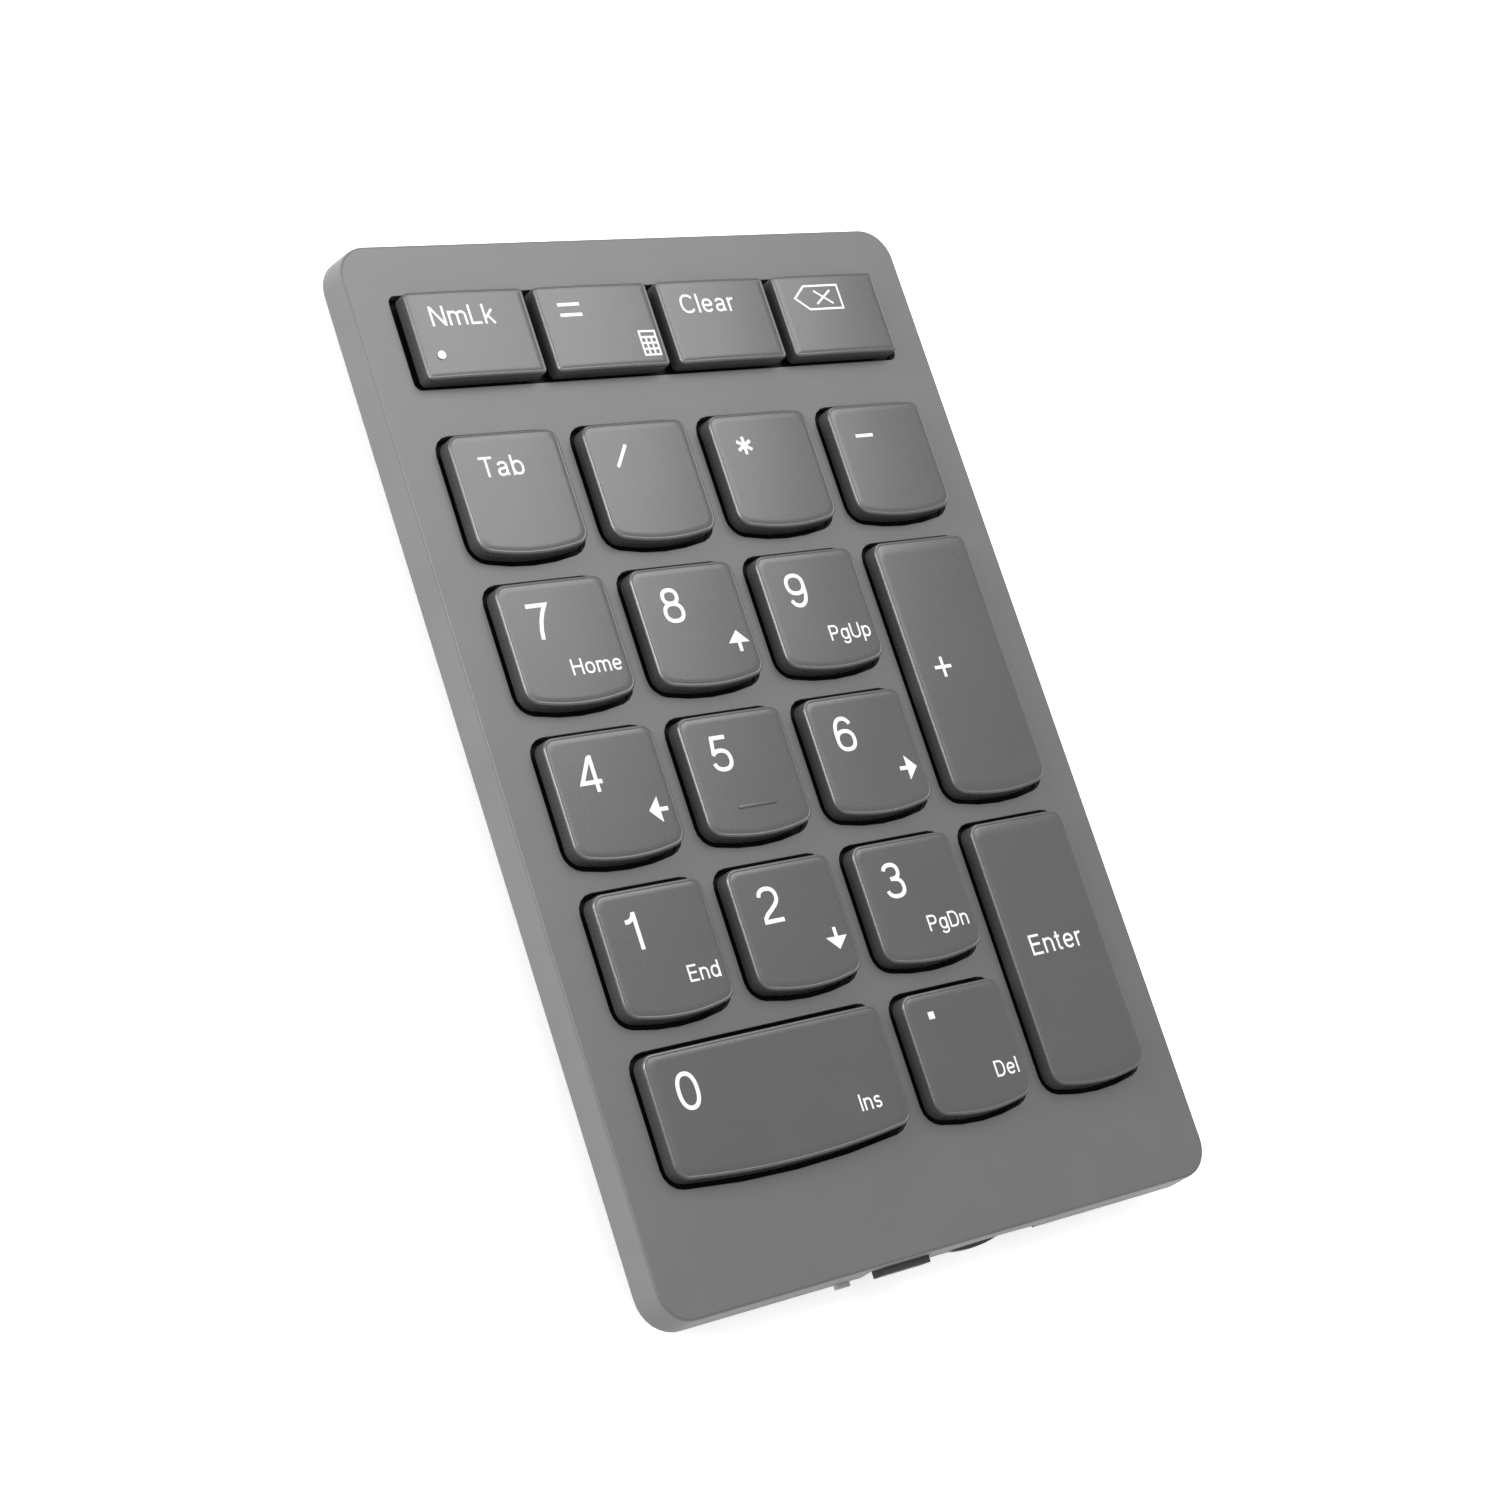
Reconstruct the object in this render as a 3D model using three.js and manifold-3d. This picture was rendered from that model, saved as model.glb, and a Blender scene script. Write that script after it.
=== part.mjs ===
// Slim wireless numeric keypad with 21 scissor-switch keys and a stowed USB receiver.
// Millimetres. +X right, +Y towards the back row, +Z up; the keypad lies on its rubber strips at z = 0.
import * as THREE from "three";
import { mergeVertices } from "three/addons/utils/BufferGeometryUtils.js";
import Module from "manifold-3d";

const wasm = await Module();
wasm.setup();

// ---- Driving dimensions: key field ----
const keyPitch = 19.05;
const openingWidth = 17.0;
const openingLength = 17.1;
const openingBulge = 1.3; // how far the front edge of an opening bows towards the user
const openingBackRadius = 2.3;
const openingFrontRadius = 2.75;
const topSlotLength = 12.33;
const topSlotRadius = 1.0;
const topSlotGap = 6.05; // between the top slot and the first row of openings
const topKeyGap = 1.43;
const topKeyEndGap = 0.93;
const topKeyFrontGap = 0.4;
const topKeyRadius = 0.7;
const sideMargin = 5.325;
const backMargin = 6.62;
const frontMargin = 13.2;
const columns = 4;
const rows = 5;

// ---- Driving dimensions: keycap and switch stack ----
const skirtGap = 0.65; // keycap skirt to the edge of its opening
const rimInset = 0.4; // keycap rim in from its skirt
const rimDrop = 0.45; // height of the sloped band below the rim
const capProud = 2.1; // keycap rim above the case face
const skirtDrop = 0.2; // keycap skirt below the case face
const capTop = 1.1; // thickness of a keycap's top
const capWall = 1.0;
const keyTravel = 1.5;
const bottomOutGap = 0.1;
const layerGap = 0.05;
const domeSheetThickness = 0.2;
const membraneThickness = 0.25;
const plateThickness = 0.4;
const plateMargin = 1.3; // plate and sheets beyond the outermost openings
const domeScissorGap = 0.7; // dome's foot to the sides of the inner link
const domeTopRadius = 1.3;
const domeWall = 0.45;
const scissorBar = 1.0;
const scissorThickness = 0.7;
const scissorLinkGap = 0.3;
const scissorSideGap = 0.85; // outer link to the inside of the keycap's wall
const scissorEndGap = 1.85; // ends of the links to the inside of the keycap's wall
const topScissorEndGap = 0.565;
const stabiliserWire = 0.8;
const stabiliserArm = 6.0;
const stabiliserEndInset = 4.5; // wire's end in from the keycap's end
const lensRadius = 0.5;
const lensClearance = 0.05;
const lensFromCapLeft = 2.7;
const lensFromCapFront = 3.1;

// ---- Driving dimensions: case ----
const caseCornerRadius = 4.2;
const wallHeight = 4.1;
const wallSplay = 0.4; // the wall leans out by this from face to rim
const wallThickness = 1.5;
const faceThickness = 1.2;
const fitGap = 0.15;
const seamGap = 0.1;
const bellySideInset = 3.0;
const bellyEndInset = 0.8;
const bellyBevel = 1.0;
const bellyWall = 1.2;
const bellyFloor = 0.9;
const bossRadius = 2.0;
const bossFromBellyWall = 0.6;
const footProud = 0.6;
const footRecess = 0.3;
const footLength = 56;
const footWidth = 6;
const footFromBack = 11;
const footFromFront = 24.5;
const tabWidth = 1.9; // small pry tab of the bottom case at the front edge
const tabProud = 0.95;
const tabHeight = 0.8;
const tabX = -14.6;

// ---- Driving dimensions: receiver and its bay ----
const receiverWidth = 12.0;
const receiverThickness = 4.5;
const receiverRadius = 0.7;
const receiverShellLength = 12.0;
const receiverShellWall = 0.3;
const receiverLabelLength = 3.3;
const receiverGrooveLength = 1.1;
const receiverGrooveDepth = 0.45;
const receiverCapLength = 2.1;
const receiverWindow = 2.2;
const receiverWindowSpacing = 5.6;
const receiverWindowFromTip = 5.2;
const tongueThickness = 1.9;
const receiverTopGap = 0.5; // below the key support plate
const bayFloor = 0.7;
const bayWall = 0.8;
const bayClearance = 0.3;
const bayMouthGap = 0.45; // mouth past each side of the bay
const bayMouthArch = 0.5;
const bayX = 8.15;
const bayLipProud = 0.5;

// ---- Driving dimensions: power switch, board, battery, charging socket ----
const switchWidth = 7.1;
const switchProud = 1.0;
const switchTopDrop = 1.65; // top of the nub below the case face
const switchTravel = 1.5;
const switchX = -6.9;
const switchClearance = 0.15;
const switchFlangeWidth = 10.0;
const switchFlangeThickness = 0.6;
const boardThickness = 1.0;
const boardFloorGap = 0.6;
const boardLegWidth = 11.0;
const boardRearReach = 7.0; // the rear leg's end, right of the middle
const boardGap = 0.3;
const batteryWidth = 40;
const batteryLength = 60;
const batteryThickness = 3.4;
const batteryX = 5;
const socketWidth = 9.0;
const socketHeight = 3.2;
const socketLength = 7.3;
const socketWall = 0.3;
const socketTongue = 0.7;
const socketClearance = 0.2;

// ---- Sizes that follow ----
const slotWidth = (columns - 1) * keyPitch + openingWidth;
const caseWidth = slotWidth + 2 * sideMargin;
const rowsLength = (rows - 1) * keyPitch + openingLength;
const caseLength = backMargin + topSlotLength + topSlotGap + rowsLength + frontMargin;
const halfWidth = caseWidth / 2;
const halfLength = caseLength / 2;
const topKeyWidth = (slotWidth - 2 * topKeyEndGap - (columns - 1) * topKeyGap) / columns;
const topKeyLength = topSlotLength - 2 * topKeyFrontGap;
const slotY = halfLength - backMargin - topSlotLength / 2;
const firstRowY = slotY - topSlotLength / 2 - topSlotGap - openingLength / 2;
const linkReach = capWall + scissorSideGap + 2 * scissorBar + scissorLinkGap;
const scissorInnerWidth = openingWidth - 2 * (skirtGap + linkReach); // clear width inside the inner link
const scissorSpan = Math.min(openingWidth, openingLength) - 2 * (skirtGap + capWall);
const scissorLength = scissorSpan - 2 * scissorEndGap;
const topCapWall = Math.min(capWall, topKeyRadius);
const topScissorLength = topKeyLength - 2 * (topCapWall + topScissorEndGap);
const domeBaseRadius = scissorInnerWidth / 2 - domeScissorGap;
const bayHalf = receiverWidth / 2 + bayClearance;
const bayMouthWidth = 2 * (bayHalf + bayMouthGap);

// ---- Levels, from the desk up ----
const domeSheetDrop = skirtDrop + keyTravel + bottomOutGap; // top of the sheet below the face
const membraneDrop = domeSheetDrop + domeSheetThickness + layerGap;
const plateDrop = membraneDrop + membraneThickness + layerGap;
const plateBottomDrop = plateDrop + plateThickness;
const receiverBottomDrop = plateBottomDrop + receiverTopGap + receiverThickness;
const bellyDrop = receiverBottomDrop + fitGap + bayFloor;
const faceZ = footProud + bellyDrop;
const wallBottomZ = faceZ - wallHeight;
const domeSheetTopZ = faceZ - domeSheetDrop;
const capCeilingZ = faceZ + capProud - capTop;
const plateBottomZ = faceZ - plateBottomDrop;
const baseTopZ = plateBottomZ - fitGap;
const bellyInnerZ = footProud + bellyFloor;
const bayFloorZ = footProud + bayFloor;
const receiverZ = faceZ - receiverBottomDrop + receiverThickness / 2;
const boardBottomZ = bellyInnerZ + boardFloorGap;
const boardTopZ = boardBottomZ + boardThickness;

const slack = 1; // how far cutters run past what they cut

const materials = {
  caseGrey: new THREE.MeshStandardMaterial({ color: 0x6c6c6e, roughness: 0.45, metalness: 0.1 }),
  keyGrey: new THREE.MeshStandardMaterial({ color: 0x5f5f61, roughness: 0.5, metalness: 0 }),
  bottomGrey: new THREE.MeshStandardMaterial({ color: 0x565658, roughness: 0.6, metalness: 0 }),
  blackPlastic: new THREE.MeshStandardMaterial({ color: 0x1a1a1b, roughness: 0.5, metalness: 0 }),
  whitePlastic: new THREE.MeshStandardMaterial({ color: 0xe6e6e2, roughness: 0.5, metalness: 0 }),
  lens: new THREE.MeshStandardMaterial({ color: 0xf4f4f0, roughness: 0.3, metalness: 0 }),
  steel: new THREE.MeshStandardMaterial({ color: 0xb9bcc0, roughness: 0.3, metalness: 1 }),
  membrane: new THREE.MeshStandardMaterial({ color: 0xc9cfcf, roughness: 0.4, metalness: 0 }),
  siliconeRubber: new THREE.MeshStandardMaterial({ color: 0x1c1c1d, roughness: 0.7, metalness: 0 }),
  board: new THREE.MeshStandardMaterial({ color: 0x1f5a35, roughness: 0.5, metalness: 0 }),
  battery: new THREE.MeshStandardMaterial({ color: 0xa9adb2, roughness: 0.4, metalness: 0.6 }),
  rubber: new THREE.MeshStandardMaterial({ color: 0x202021, roughness: 0.8, metalness: 0 }),
};

// ---- Solid tools ----
function solidOf(geometry) {
  const plain = geometry.clone();
  plain.deleteAttribute("normal");
  plain.deleteAttribute("uv");
  const merged = mergeVertices(plain, 1e-4);
  const vertProperties = merged.attributes.position.array;
  const triVerts = new Uint32Array(merged.index.array);
  return new wasm.Manifold(new wasm.Mesh({ numProp: 3, vertProperties, triVerts }));
}

// A box given by its low and high corners.
function boxBetween(low, high) {
  const size = high.map((value, axis) => value - low[axis]);
  const geometry = new THREE.BoxGeometry(...size);
  geometry.translate(...low.map((value, axis) => value + size[axis] / 2));
  return solidOf(geometry);
}

// A shape extruded upwards between two levels.
function prism(shape, bottomZ, topZ, curveSegments) {
  const options = { depth: topZ - bottomZ, bevelEnabled: false, curveSegments };
  const geometry = new THREE.ExtrudeGeometry(shape, options);
  geometry.translate(0, 0, bottomZ);
  return solidOf(geometry);
}

// A shape extruded down from topZ, widening by `grow` over the first `drop` and straight below that.
function flared(shape, bottomZ, topZ, grow, drop, curveSegments) {
  const depth = topZ - drop - bottomZ + slack;
  const bevel = { bevelThickness: drop, bevelSize: grow, bevelSegments: 1 };
  const geometry = new THREE.ExtrudeGeometry(shape, { depth, curveSegments, ...bevel });
  geometry.translate(0, 0, topZ - drop - depth);
  const reach = 2 * caseLength;
  const below = boxBetween([-reach, -reach, bottomZ - 2 * (slack + drop)], [reach, reach, bottomZ]);
  return solidOf(geometry).subtract(below);
}

function roundedRectangle(halfX, halfY, radius) {
  const shape = new THREE.Shape();
  shape.moveTo(-halfX + radius, -halfY);
  shape.absarc(halfX - radius, -halfY + radius, radius, -Math.PI / 2, 0, false);
  shape.absarc(halfX - radius, halfY - radius, radius, 0, Math.PI / 2, false);
  shape.absarc(-halfX + radius, halfY - radius, radius, Math.PI / 2, Math.PI, false);
  shape.absarc(-halfX + radius, -halfY + radius, radius, Math.PI, 1.5 * Math.PI, false);
  return shape;
}

// Outline of an opening or keycap, `inset` inside the given opening: straight back and sides with
// round corners, and a front edge that is one shallow arc.
function keyOutline(opening, inset) {
  if (!opening.bulge) {
    const radius = opening.backRadius - inset;
    return roundedRectangle(opening.width / 2 - inset, opening.length / 2 - inset, radius);
  }
  const side = opening.width / 2 - inset;
  const back = opening.length / 2 - inset;
  const backRadius = opening.backRadius - inset;
  const frontRadius = opening.frontRadius - inset;
  const arcRadius = (opening.width ** 2 / 4 + opening.bulge ** 2) / (2 * opening.bulge);
  const arcY = arcRadius - opening.length / 2;
  const cornerX = side - frontRadius;
  const cornerY = arcY - Math.sqrt((arcRadius - opening.frontRadius) ** 2 - cornerX ** 2);
  const turn = Math.atan2(cornerY - arcY, cornerX);
  const shape = new THREE.Shape();
  shape.moveTo(-side, cornerY);
  shape.absarc(backRadius - side, back - backRadius, backRadius, Math.PI, Math.PI / 2, true);
  shape.absarc(side - backRadius, back - backRadius, backRadius, Math.PI / 2, 0, true);
  shape.absarc(cornerX, cornerY, frontRadius, 0, turn, true);
  shape.absarc(0, arcY, arcRadius - inset, turn, -Math.PI - turn, true);
  shape.absarc(-cornerX, cornerY, frontRadius, -Math.PI - turn, -Math.PI, true);
  return shape;
}

const keypad = new THREE.Group();
// The power switch stands further out than the splayed wall behind, so the middle moves back a little.
keypad.position.y = (switchProud - wallSplay) / 2;

function addNode(name, solid, material, parent = keypad) {
  const { vertProperties, triVerts } = solid.getMesh();
  const geometry = new THREE.BufferGeometry();
  geometry.setAttribute("position", new THREE.BufferAttribute(new Float32Array(vertProperties), 3));
  geometry.setIndex(new THREE.BufferAttribute(new Uint32Array(triVerts), 1));
  geometry.computeVertexNormals();
  const mesh = new THREE.Mesh(geometry, material);
  mesh.name = name;
  parent.add(mesh);
  return mesh;
}

// ---- The key field ----
function fieldKey(name, column, row, columnSpan = 1, rowSpan = 1) {
  const middleColumn = column + (columnSpan - 1) / 2;
  const middleRow = row + (rowSpan - 1) / 2;
  return {
    name,
    x: (middleColumn - (columns - 1) / 2) * keyPitch,
    y: firstRowY - middleRow * keyPitch,
    width: openingWidth + (columnSpan - 1) * keyPitch,
    length: openingLength + (rowSpan - 1) * keyPitch,
    backRadius: openingBackRadius,
    frontRadius: openingFrontRadius,
    bulge: openingBulge,
    scissorLength,
    tall: rowSpan > 1,
    long: rowSpan > 1 || columnSpan > 1,
  };
}

// A top-row key is held as the hole it would need, so that one function makes every keycap.
function topRowKey(name, column) {
  return {
    name,
    x: (column - (columns - 1) / 2) * (topKeyWidth + topKeyGap),
    y: slotY,
    width: topKeyWidth + 2 * skirtGap,
    length: topKeyLength + 2 * skirtGap,
    backRadius: topKeyRadius + skirtGap,
    bulge: 0,
    scissorLength: topScissorLength,
    tall: false,
    long: false,
  };
}

const topKeys = ["num_lock", "equals", "clear", "backspace"].map(topRowKey);
const fieldKeys = [
  fieldKey("tab", 0, 0),
  fieldKey("divide", 1, 0),
  fieldKey("multiply", 2, 0),
  fieldKey("minus", 3, 0),
  fieldKey("7", 0, 1),
  fieldKey("8", 1, 1),
  fieldKey("9", 2, 1),
  fieldKey("plus", 3, 1, 1, 2),
  fieldKey("4", 0, 2),
  fieldKey("5", 1, 2),
  fieldKey("6", 2, 2),
  fieldKey("1", 0, 3),
  fieldKey("2", 1, 3),
  fieldKey("3", 2, 3),
  fieldKey("enter", 3, 3, 1, 2),
  fieldKey("0", 0, 4, 2, 1),
  fieldKey("decimal", 2, 4),
];
const keys = [...topKeys, ...fieldKeys];

function keycapSolid(key) {
  const skirtZ = faceZ - skirtDrop;
  const rim = keyOutline(key, skirtGap + rimInset);
  const body = flared(rim, skirtZ, faceZ + capProud, rimInset, rimDrop, 2);
  const hollow = prism(keyOutline(key, skirtGap + Math.min(capWall, key.backRadius - skirtGap)),
    skirtZ - slack, capCeilingZ, 1);
  return body.subtract(hollow);
}

function lensCylinder(radius, bottomZ, topZ) {
  const geometry = new THREE.CylinderGeometry(radius, radius, topZ - bottomZ, 16);
  geometry.rotateX(Math.PI / 2);
  const x = lensFromCapLeft - topKeyWidth / 2;
  const y = lensFromCapFront - topKeyLength / 2;
  geometry.translate(x, y, (bottomZ + topZ) / 2);
  return solidOf(geometry);
}

function addKeycap(key) {
  const place = new THREE.Group();
  place.position.set(key.x, key.y, 0);
  keypad.add(place);
  let cap = keycapSolid(key);
  if (key.name === "num_lock") {
    const capTopZ = faceZ + capProud;
    cap = cap.subtract(lensCylinder(lensRadius + lensClearance, capCeilingZ - slack, capTopZ + slack));
    addNode("num_lock_lens", lensCylinder(lensRadius, capCeilingZ, capTopZ), materials.lens, place);
  }
  addNode(`key_${key.name}`, cap, materials.keyGrey, place);
}

// ---- Scissor support: two crossed links on a common pivot, drawn as one piece ----
function scissorLink(clearWidth, length, tilt) {
  const outer = new THREE.BoxGeometry(clearWidth + 2 * scissorBar, length, scissorThickness);
  const inner = new THREE.BoxGeometry(clearWidth, length - 2 * scissorBar, scissorThickness + slack);
  const ring = solidOf(outer).subtract(solidOf(inner));
  return ring.rotate([THREE.MathUtils.radToDeg(tilt), 0, 0]);
}

function scissorSolid(key) {
  const bottomZ = domeSheetTopZ + layerGap;
  const topZ = capCeilingZ - bottomOutGap;
  const height = topZ - bottomZ;
  const tilt = Math.asin((height - scissorThickness) / key.scissorLength);
  const innerLink = scissorLink(scissorInnerWidth, key.scissorLength, tilt);
  const outerClear = scissorInnerWidth + 2 * (scissorBar + scissorLinkGap);
  const outerLink = scissorLink(outerClear, key.scissorLength, -tilt);
  const pinReach = outerClear / 2 + scissorBar / 2;
  const pinHalf = scissorThickness / 4;
  const pins = [-1, 1].map((side) => {
    const ends = [side * (scissorInnerWidth / 2 + scissorBar / 2), side * pinReach];
    const low = [Math.min(...ends), -pinHalf, -pinHalf];
    return boxBetween(low, [Math.max(...ends), pinHalf, pinHalf]);
  });
  const pair = innerLink.add(outerLink).add(pins[0]).add(pins[1]);
  const turned = key.tall ? pair.rotate([0, 0, 90]) : pair;
  return turned.translate([0, 0, (bottomZ + topZ) / 2]);
}

function addScissor(key) {
  const mesh = addNode(`scissor_${key.name}`, scissorSolid(key), materials.whitePlastic);
  mesh.position.set(key.x, key.y, 0);
}

// ---- Stabiliser: a wire bar with two arms, under a long keycap ----
// The straight run lies under the keycap, and the arms slope down to their hooks on the plate.
function stabiliserSolid(key) {
  const radius = stabiliserWire / 2;
  const capLength = (key.tall ? key.length : key.width) - 2 * skirtGap;
  const reach = capLength / 2 - stabiliserEndInset;
  const drop = capCeilingZ - bottomOutGap - domeSheetTopZ - layerGap - stabiliserWire;
  const tilt = Math.asin(drop / stabiliserArm);
  const bar = new THREE.CylinderGeometry(radius, radius, 2 * reach, 8);
  bar.rotateZ(Math.PI / 2);
  const knuckles = [-reach, reach].map((x) => {
    const knuckle = new THREE.SphereGeometry(radius, 8, 6);
    knuckle.translate(x, 0, 0);
    return solidOf(knuckle);
  });
  const arms = [-reach, reach].map((x) => {
    const arm = new THREE.CylinderGeometry(radius, radius, stabiliserArm, 8);
    arm.translate(0, -stabiliserArm / 2, 0);
    arm.rotateX(tilt);
    arm.translate(x, 0, 0);
    return solidOf(arm);
  });
  const wire = [solidOf(bar), ...knuckles, ...arms].reduce((sum, piece) => sum.add(piece));
  const along = scissorLength / 2 + scissorBar / 2 + radius;
  const barZ = capCeilingZ - bottomOutGap - radius;
  const placed = wire.translate([0, along, barZ]);
  return key.tall ? placed.rotate([0, 0, -90]) : placed;
}

function addStabiliser(key) {
  const mesh = addNode(`stabiliser_${key.name}`, stabiliserSolid(key), materials.steel);
  mesh.position.set(key.x, key.y, 0);
}

// ---- Switch stack: dome sheet, membrane and steel plate ----
const sheetBackY = slotY + topSlotLength / 2 + plateMargin;
const sheetFrontY = halfLength - caseLength + frontMargin - plateMargin;
const sheetHalfX = slotWidth / 2 + plateMargin;

function sheetSolid(topDrop, thickness) {
  const low = [-sheetHalfX, sheetFrontY, faceZ - topDrop - thickness];
  return boxBetween(low, [sheetHalfX, sheetBackY, faceZ - topDrop]);
}

// A hollow dome whose top touches the keycap, as a closed ring profile turned about its axis.
function domeSolid(key) {
  const height = capCeilingZ - layerGap - domeSheetTopZ + domeSheetThickness;
  const shoulder = 0.6 * height;
  const profile = [
    [domeBaseRadius, 0],
    [domeBaseRadius, domeSheetThickness],
    [domeTopRadius + domeWall, shoulder],
    [domeTopRadius, height],
    [0, height],
    [0, shoulder],
    [domeTopRadius, shoulder - domeWall],
    [domeBaseRadius - domeWall, 0],
  ].map(([radius, z]) => new THREE.Vector2(radius, z));
  const geometry = new THREE.LatheGeometry([...profile, profile[0].clone()], 10);
  geometry.rotateX(Math.PI / 2);
  geometry.translate(key.x, key.y, domeSheetTopZ - domeSheetThickness);
  return solidOf(geometry);
}

function domeHole(key) {
  const radius = domeBaseRadius - domeWall / 2;
  const geometry = new THREE.CylinderGeometry(radius, radius, 2 * slack, 10);
  geometry.rotateX(Math.PI / 2);
  geometry.translate(key.x, key.y, domeSheetTopZ);
  return solidOf(geometry);
}

function addStack() {
  const sheet = keys.reduce((solid, key) => solid.subtract(domeHole(key)),
    sheetSolid(domeSheetDrop, domeSheetThickness));
  const domes = keys.reduce((solid, key) => solid.add(domeSolid(key)), sheet);
  addNode("rubber_dome_sheet", domes, materials.siliconeRubber);
  addNode("membrane_sheet", sheetSolid(membraneDrop, membraneThickness), materials.membrane);
  addNode("key_support_plate", sheetSolid(plateDrop, plateThickness), materials.steel);
}

// ---- Openings in the case ends ----
const switchLeftX = switchX - switchWidth / 2;
const switchRightX = switchX + switchWidth / 2;
const switchBottomZ = wallBottomZ + seamGap;
const switchTopZ = faceZ - switchTopDrop;
const bayTopZ = receiverZ + receiverThickness / 2 + fitGap;
const socketBottomZ = boardTopZ + layerGap;
const socketMiddleZ = socketBottomZ + socketHeight / 2;

function switchWindow() {
  const backY = wallThickness + slack - halfLength;
  const low = [switchLeftX - switchTravel - switchClearance, -halfLength - slack, wallBottomZ - slack];
  const high = [switchRightX + switchClearance, backY, switchTopZ + switchClearance];
  return boxBetween(low, high);
}

// The bay's mouth through the front wall, with a slightly arched top.
function bayMouth() {
  const half = bayMouthWidth / 2;
  const archRadius = (half ** 2 + bayMouthArch ** 2) / (2 * bayMouthArch);
  const archZ = bayTopZ + bayMouthArch - archRadius;
  const spread = Math.asin(half / archRadius);
  const shape = new THREE.Shape();
  shape.moveTo(-half, bayFloorZ);
  shape.lineTo(half, bayFloorZ);
  shape.absarc(0, archZ, archRadius, Math.PI / 2 - spread, Math.PI / 2 + spread, false);
  const depth = wallThickness + 2 * slack;
  const geometry = new THREE.ExtrudeGeometry(shape, { depth, bevelEnabled: false, curveSegments: 6 });
  geometry.rotateX(Math.PI / 2);
  geometry.translate(bayX, wallThickness + slack - halfLength, 0);
  return solidOf(geometry);
}

function stadium(width, height) {
  return roundedRectangle(width / 2, height / 2, height / 2 - 1e-3);
}

// A stadium-section bar along Y, from backY towards the front.
function socketBar(width, height, backY, length) {
  const options = { depth: length, bevelEnabled: false, curveSegments: 3 };
  const geometry = new THREE.ExtrudeGeometry(stadium(width, height), options);
  geometry.rotateX(Math.PI / 2);
  geometry.translate(0, backY, socketMiddleZ);
  return solidOf(geometry);
}

function socketOpening() {
  const grow = 2 * socketClearance;
  const length = socketLength + 3 * slack;
  return socketBar(socketWidth + grow, socketHeight + grow, halfLength + 2 * slack, length);
}

// ---- Case ----
function addTopCase() {
  const face = roundedRectangle(halfWidth, halfLength, caseCornerRadius);
  const inside = roundedRectangle(
    halfWidth - wallThickness,
    halfLength - wallThickness,
    caseCornerRadius - wallThickness,
  );
  let shell = flared(face, wallBottomZ, faceZ, wallSplay, wallHeight, 4);
  shell = shell.subtract(prism(inside, wallBottomZ - slack, faceZ - faceThickness, 2));
  for (const key of fieldKeys) {
    const hole = prism(keyOutline(key, 0), wallBottomZ, faceZ + slack, 2);
    shell = shell.subtract(hole.translate([key.x, key.y, 0]));
  }
  const slot = roundedRectangle(slotWidth / 2, topSlotLength / 2, topSlotRadius);
  shell = shell.subtract(prism(slot, wallBottomZ, faceZ + slack, 2).translate([0, slotY, 0]));
  shell = shell.subtract(switchWindow()).subtract(bayMouth()).subtract(socketOpening());
  addNode("top_case", shell, materials.caseGrey);
}

// Case outline moved in by different amounts at the sides and at the ends.
function insetOutline(sideInset, endInset) {
  const radius = Math.max(caseCornerRadius - Math.min(sideInset, endInset), slack);
  return roundedRectangle(halfWidth - sideInset, halfLength - endInset, radius);
}

function footShape(clearance) {
  const half = footWidth / 2 + clearance;
  return roundedRectangle(footLength / 2 + clearance, half, half - 1e-3);
}

const footPlaces = [
  { name: "foot_front", y: footFromFront - halfLength },
  { name: "foot_rear", y: halfLength - footFromBack },
];

// A curved lip under the bay's mouth, where a fingernail pulls the receiver out.
function bayLip() {
  const half = bayMouthWidth / 2;
  const proud = bellyEndInset + bayLipProud;
  const radius = (half ** 2 + proud ** 2) / (2 * proud);
  const shape = new THREE.Shape();
  const spread = Math.asin(half / radius);
  const backY = bellyEndInset - halfLength;
  shape.moveTo(half, backY + slack);
  shape.lineTo(-half, backY + slack);
  shape.absarc(0, backY - proud + radius, radius, -Math.PI / 2 - spread, -Math.PI / 2 + spread, false);
  return prism(shape, footProud, bayFloorZ, 6).translate([bayX, 0, 0]);
}

function bossPlaces() {
  const x = halfWidth - bellySideInset - bellyWall - bossFromBellyWall - bossRadius;
  const y = halfLength - bellyEndInset - bellyWall - bossFromBellyWall - bossRadius - footWidth / 2;
  return [-1, 1].flatMap((side) => [-1, 0, 1].map((end) => [side * x, end * y]));
}

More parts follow.
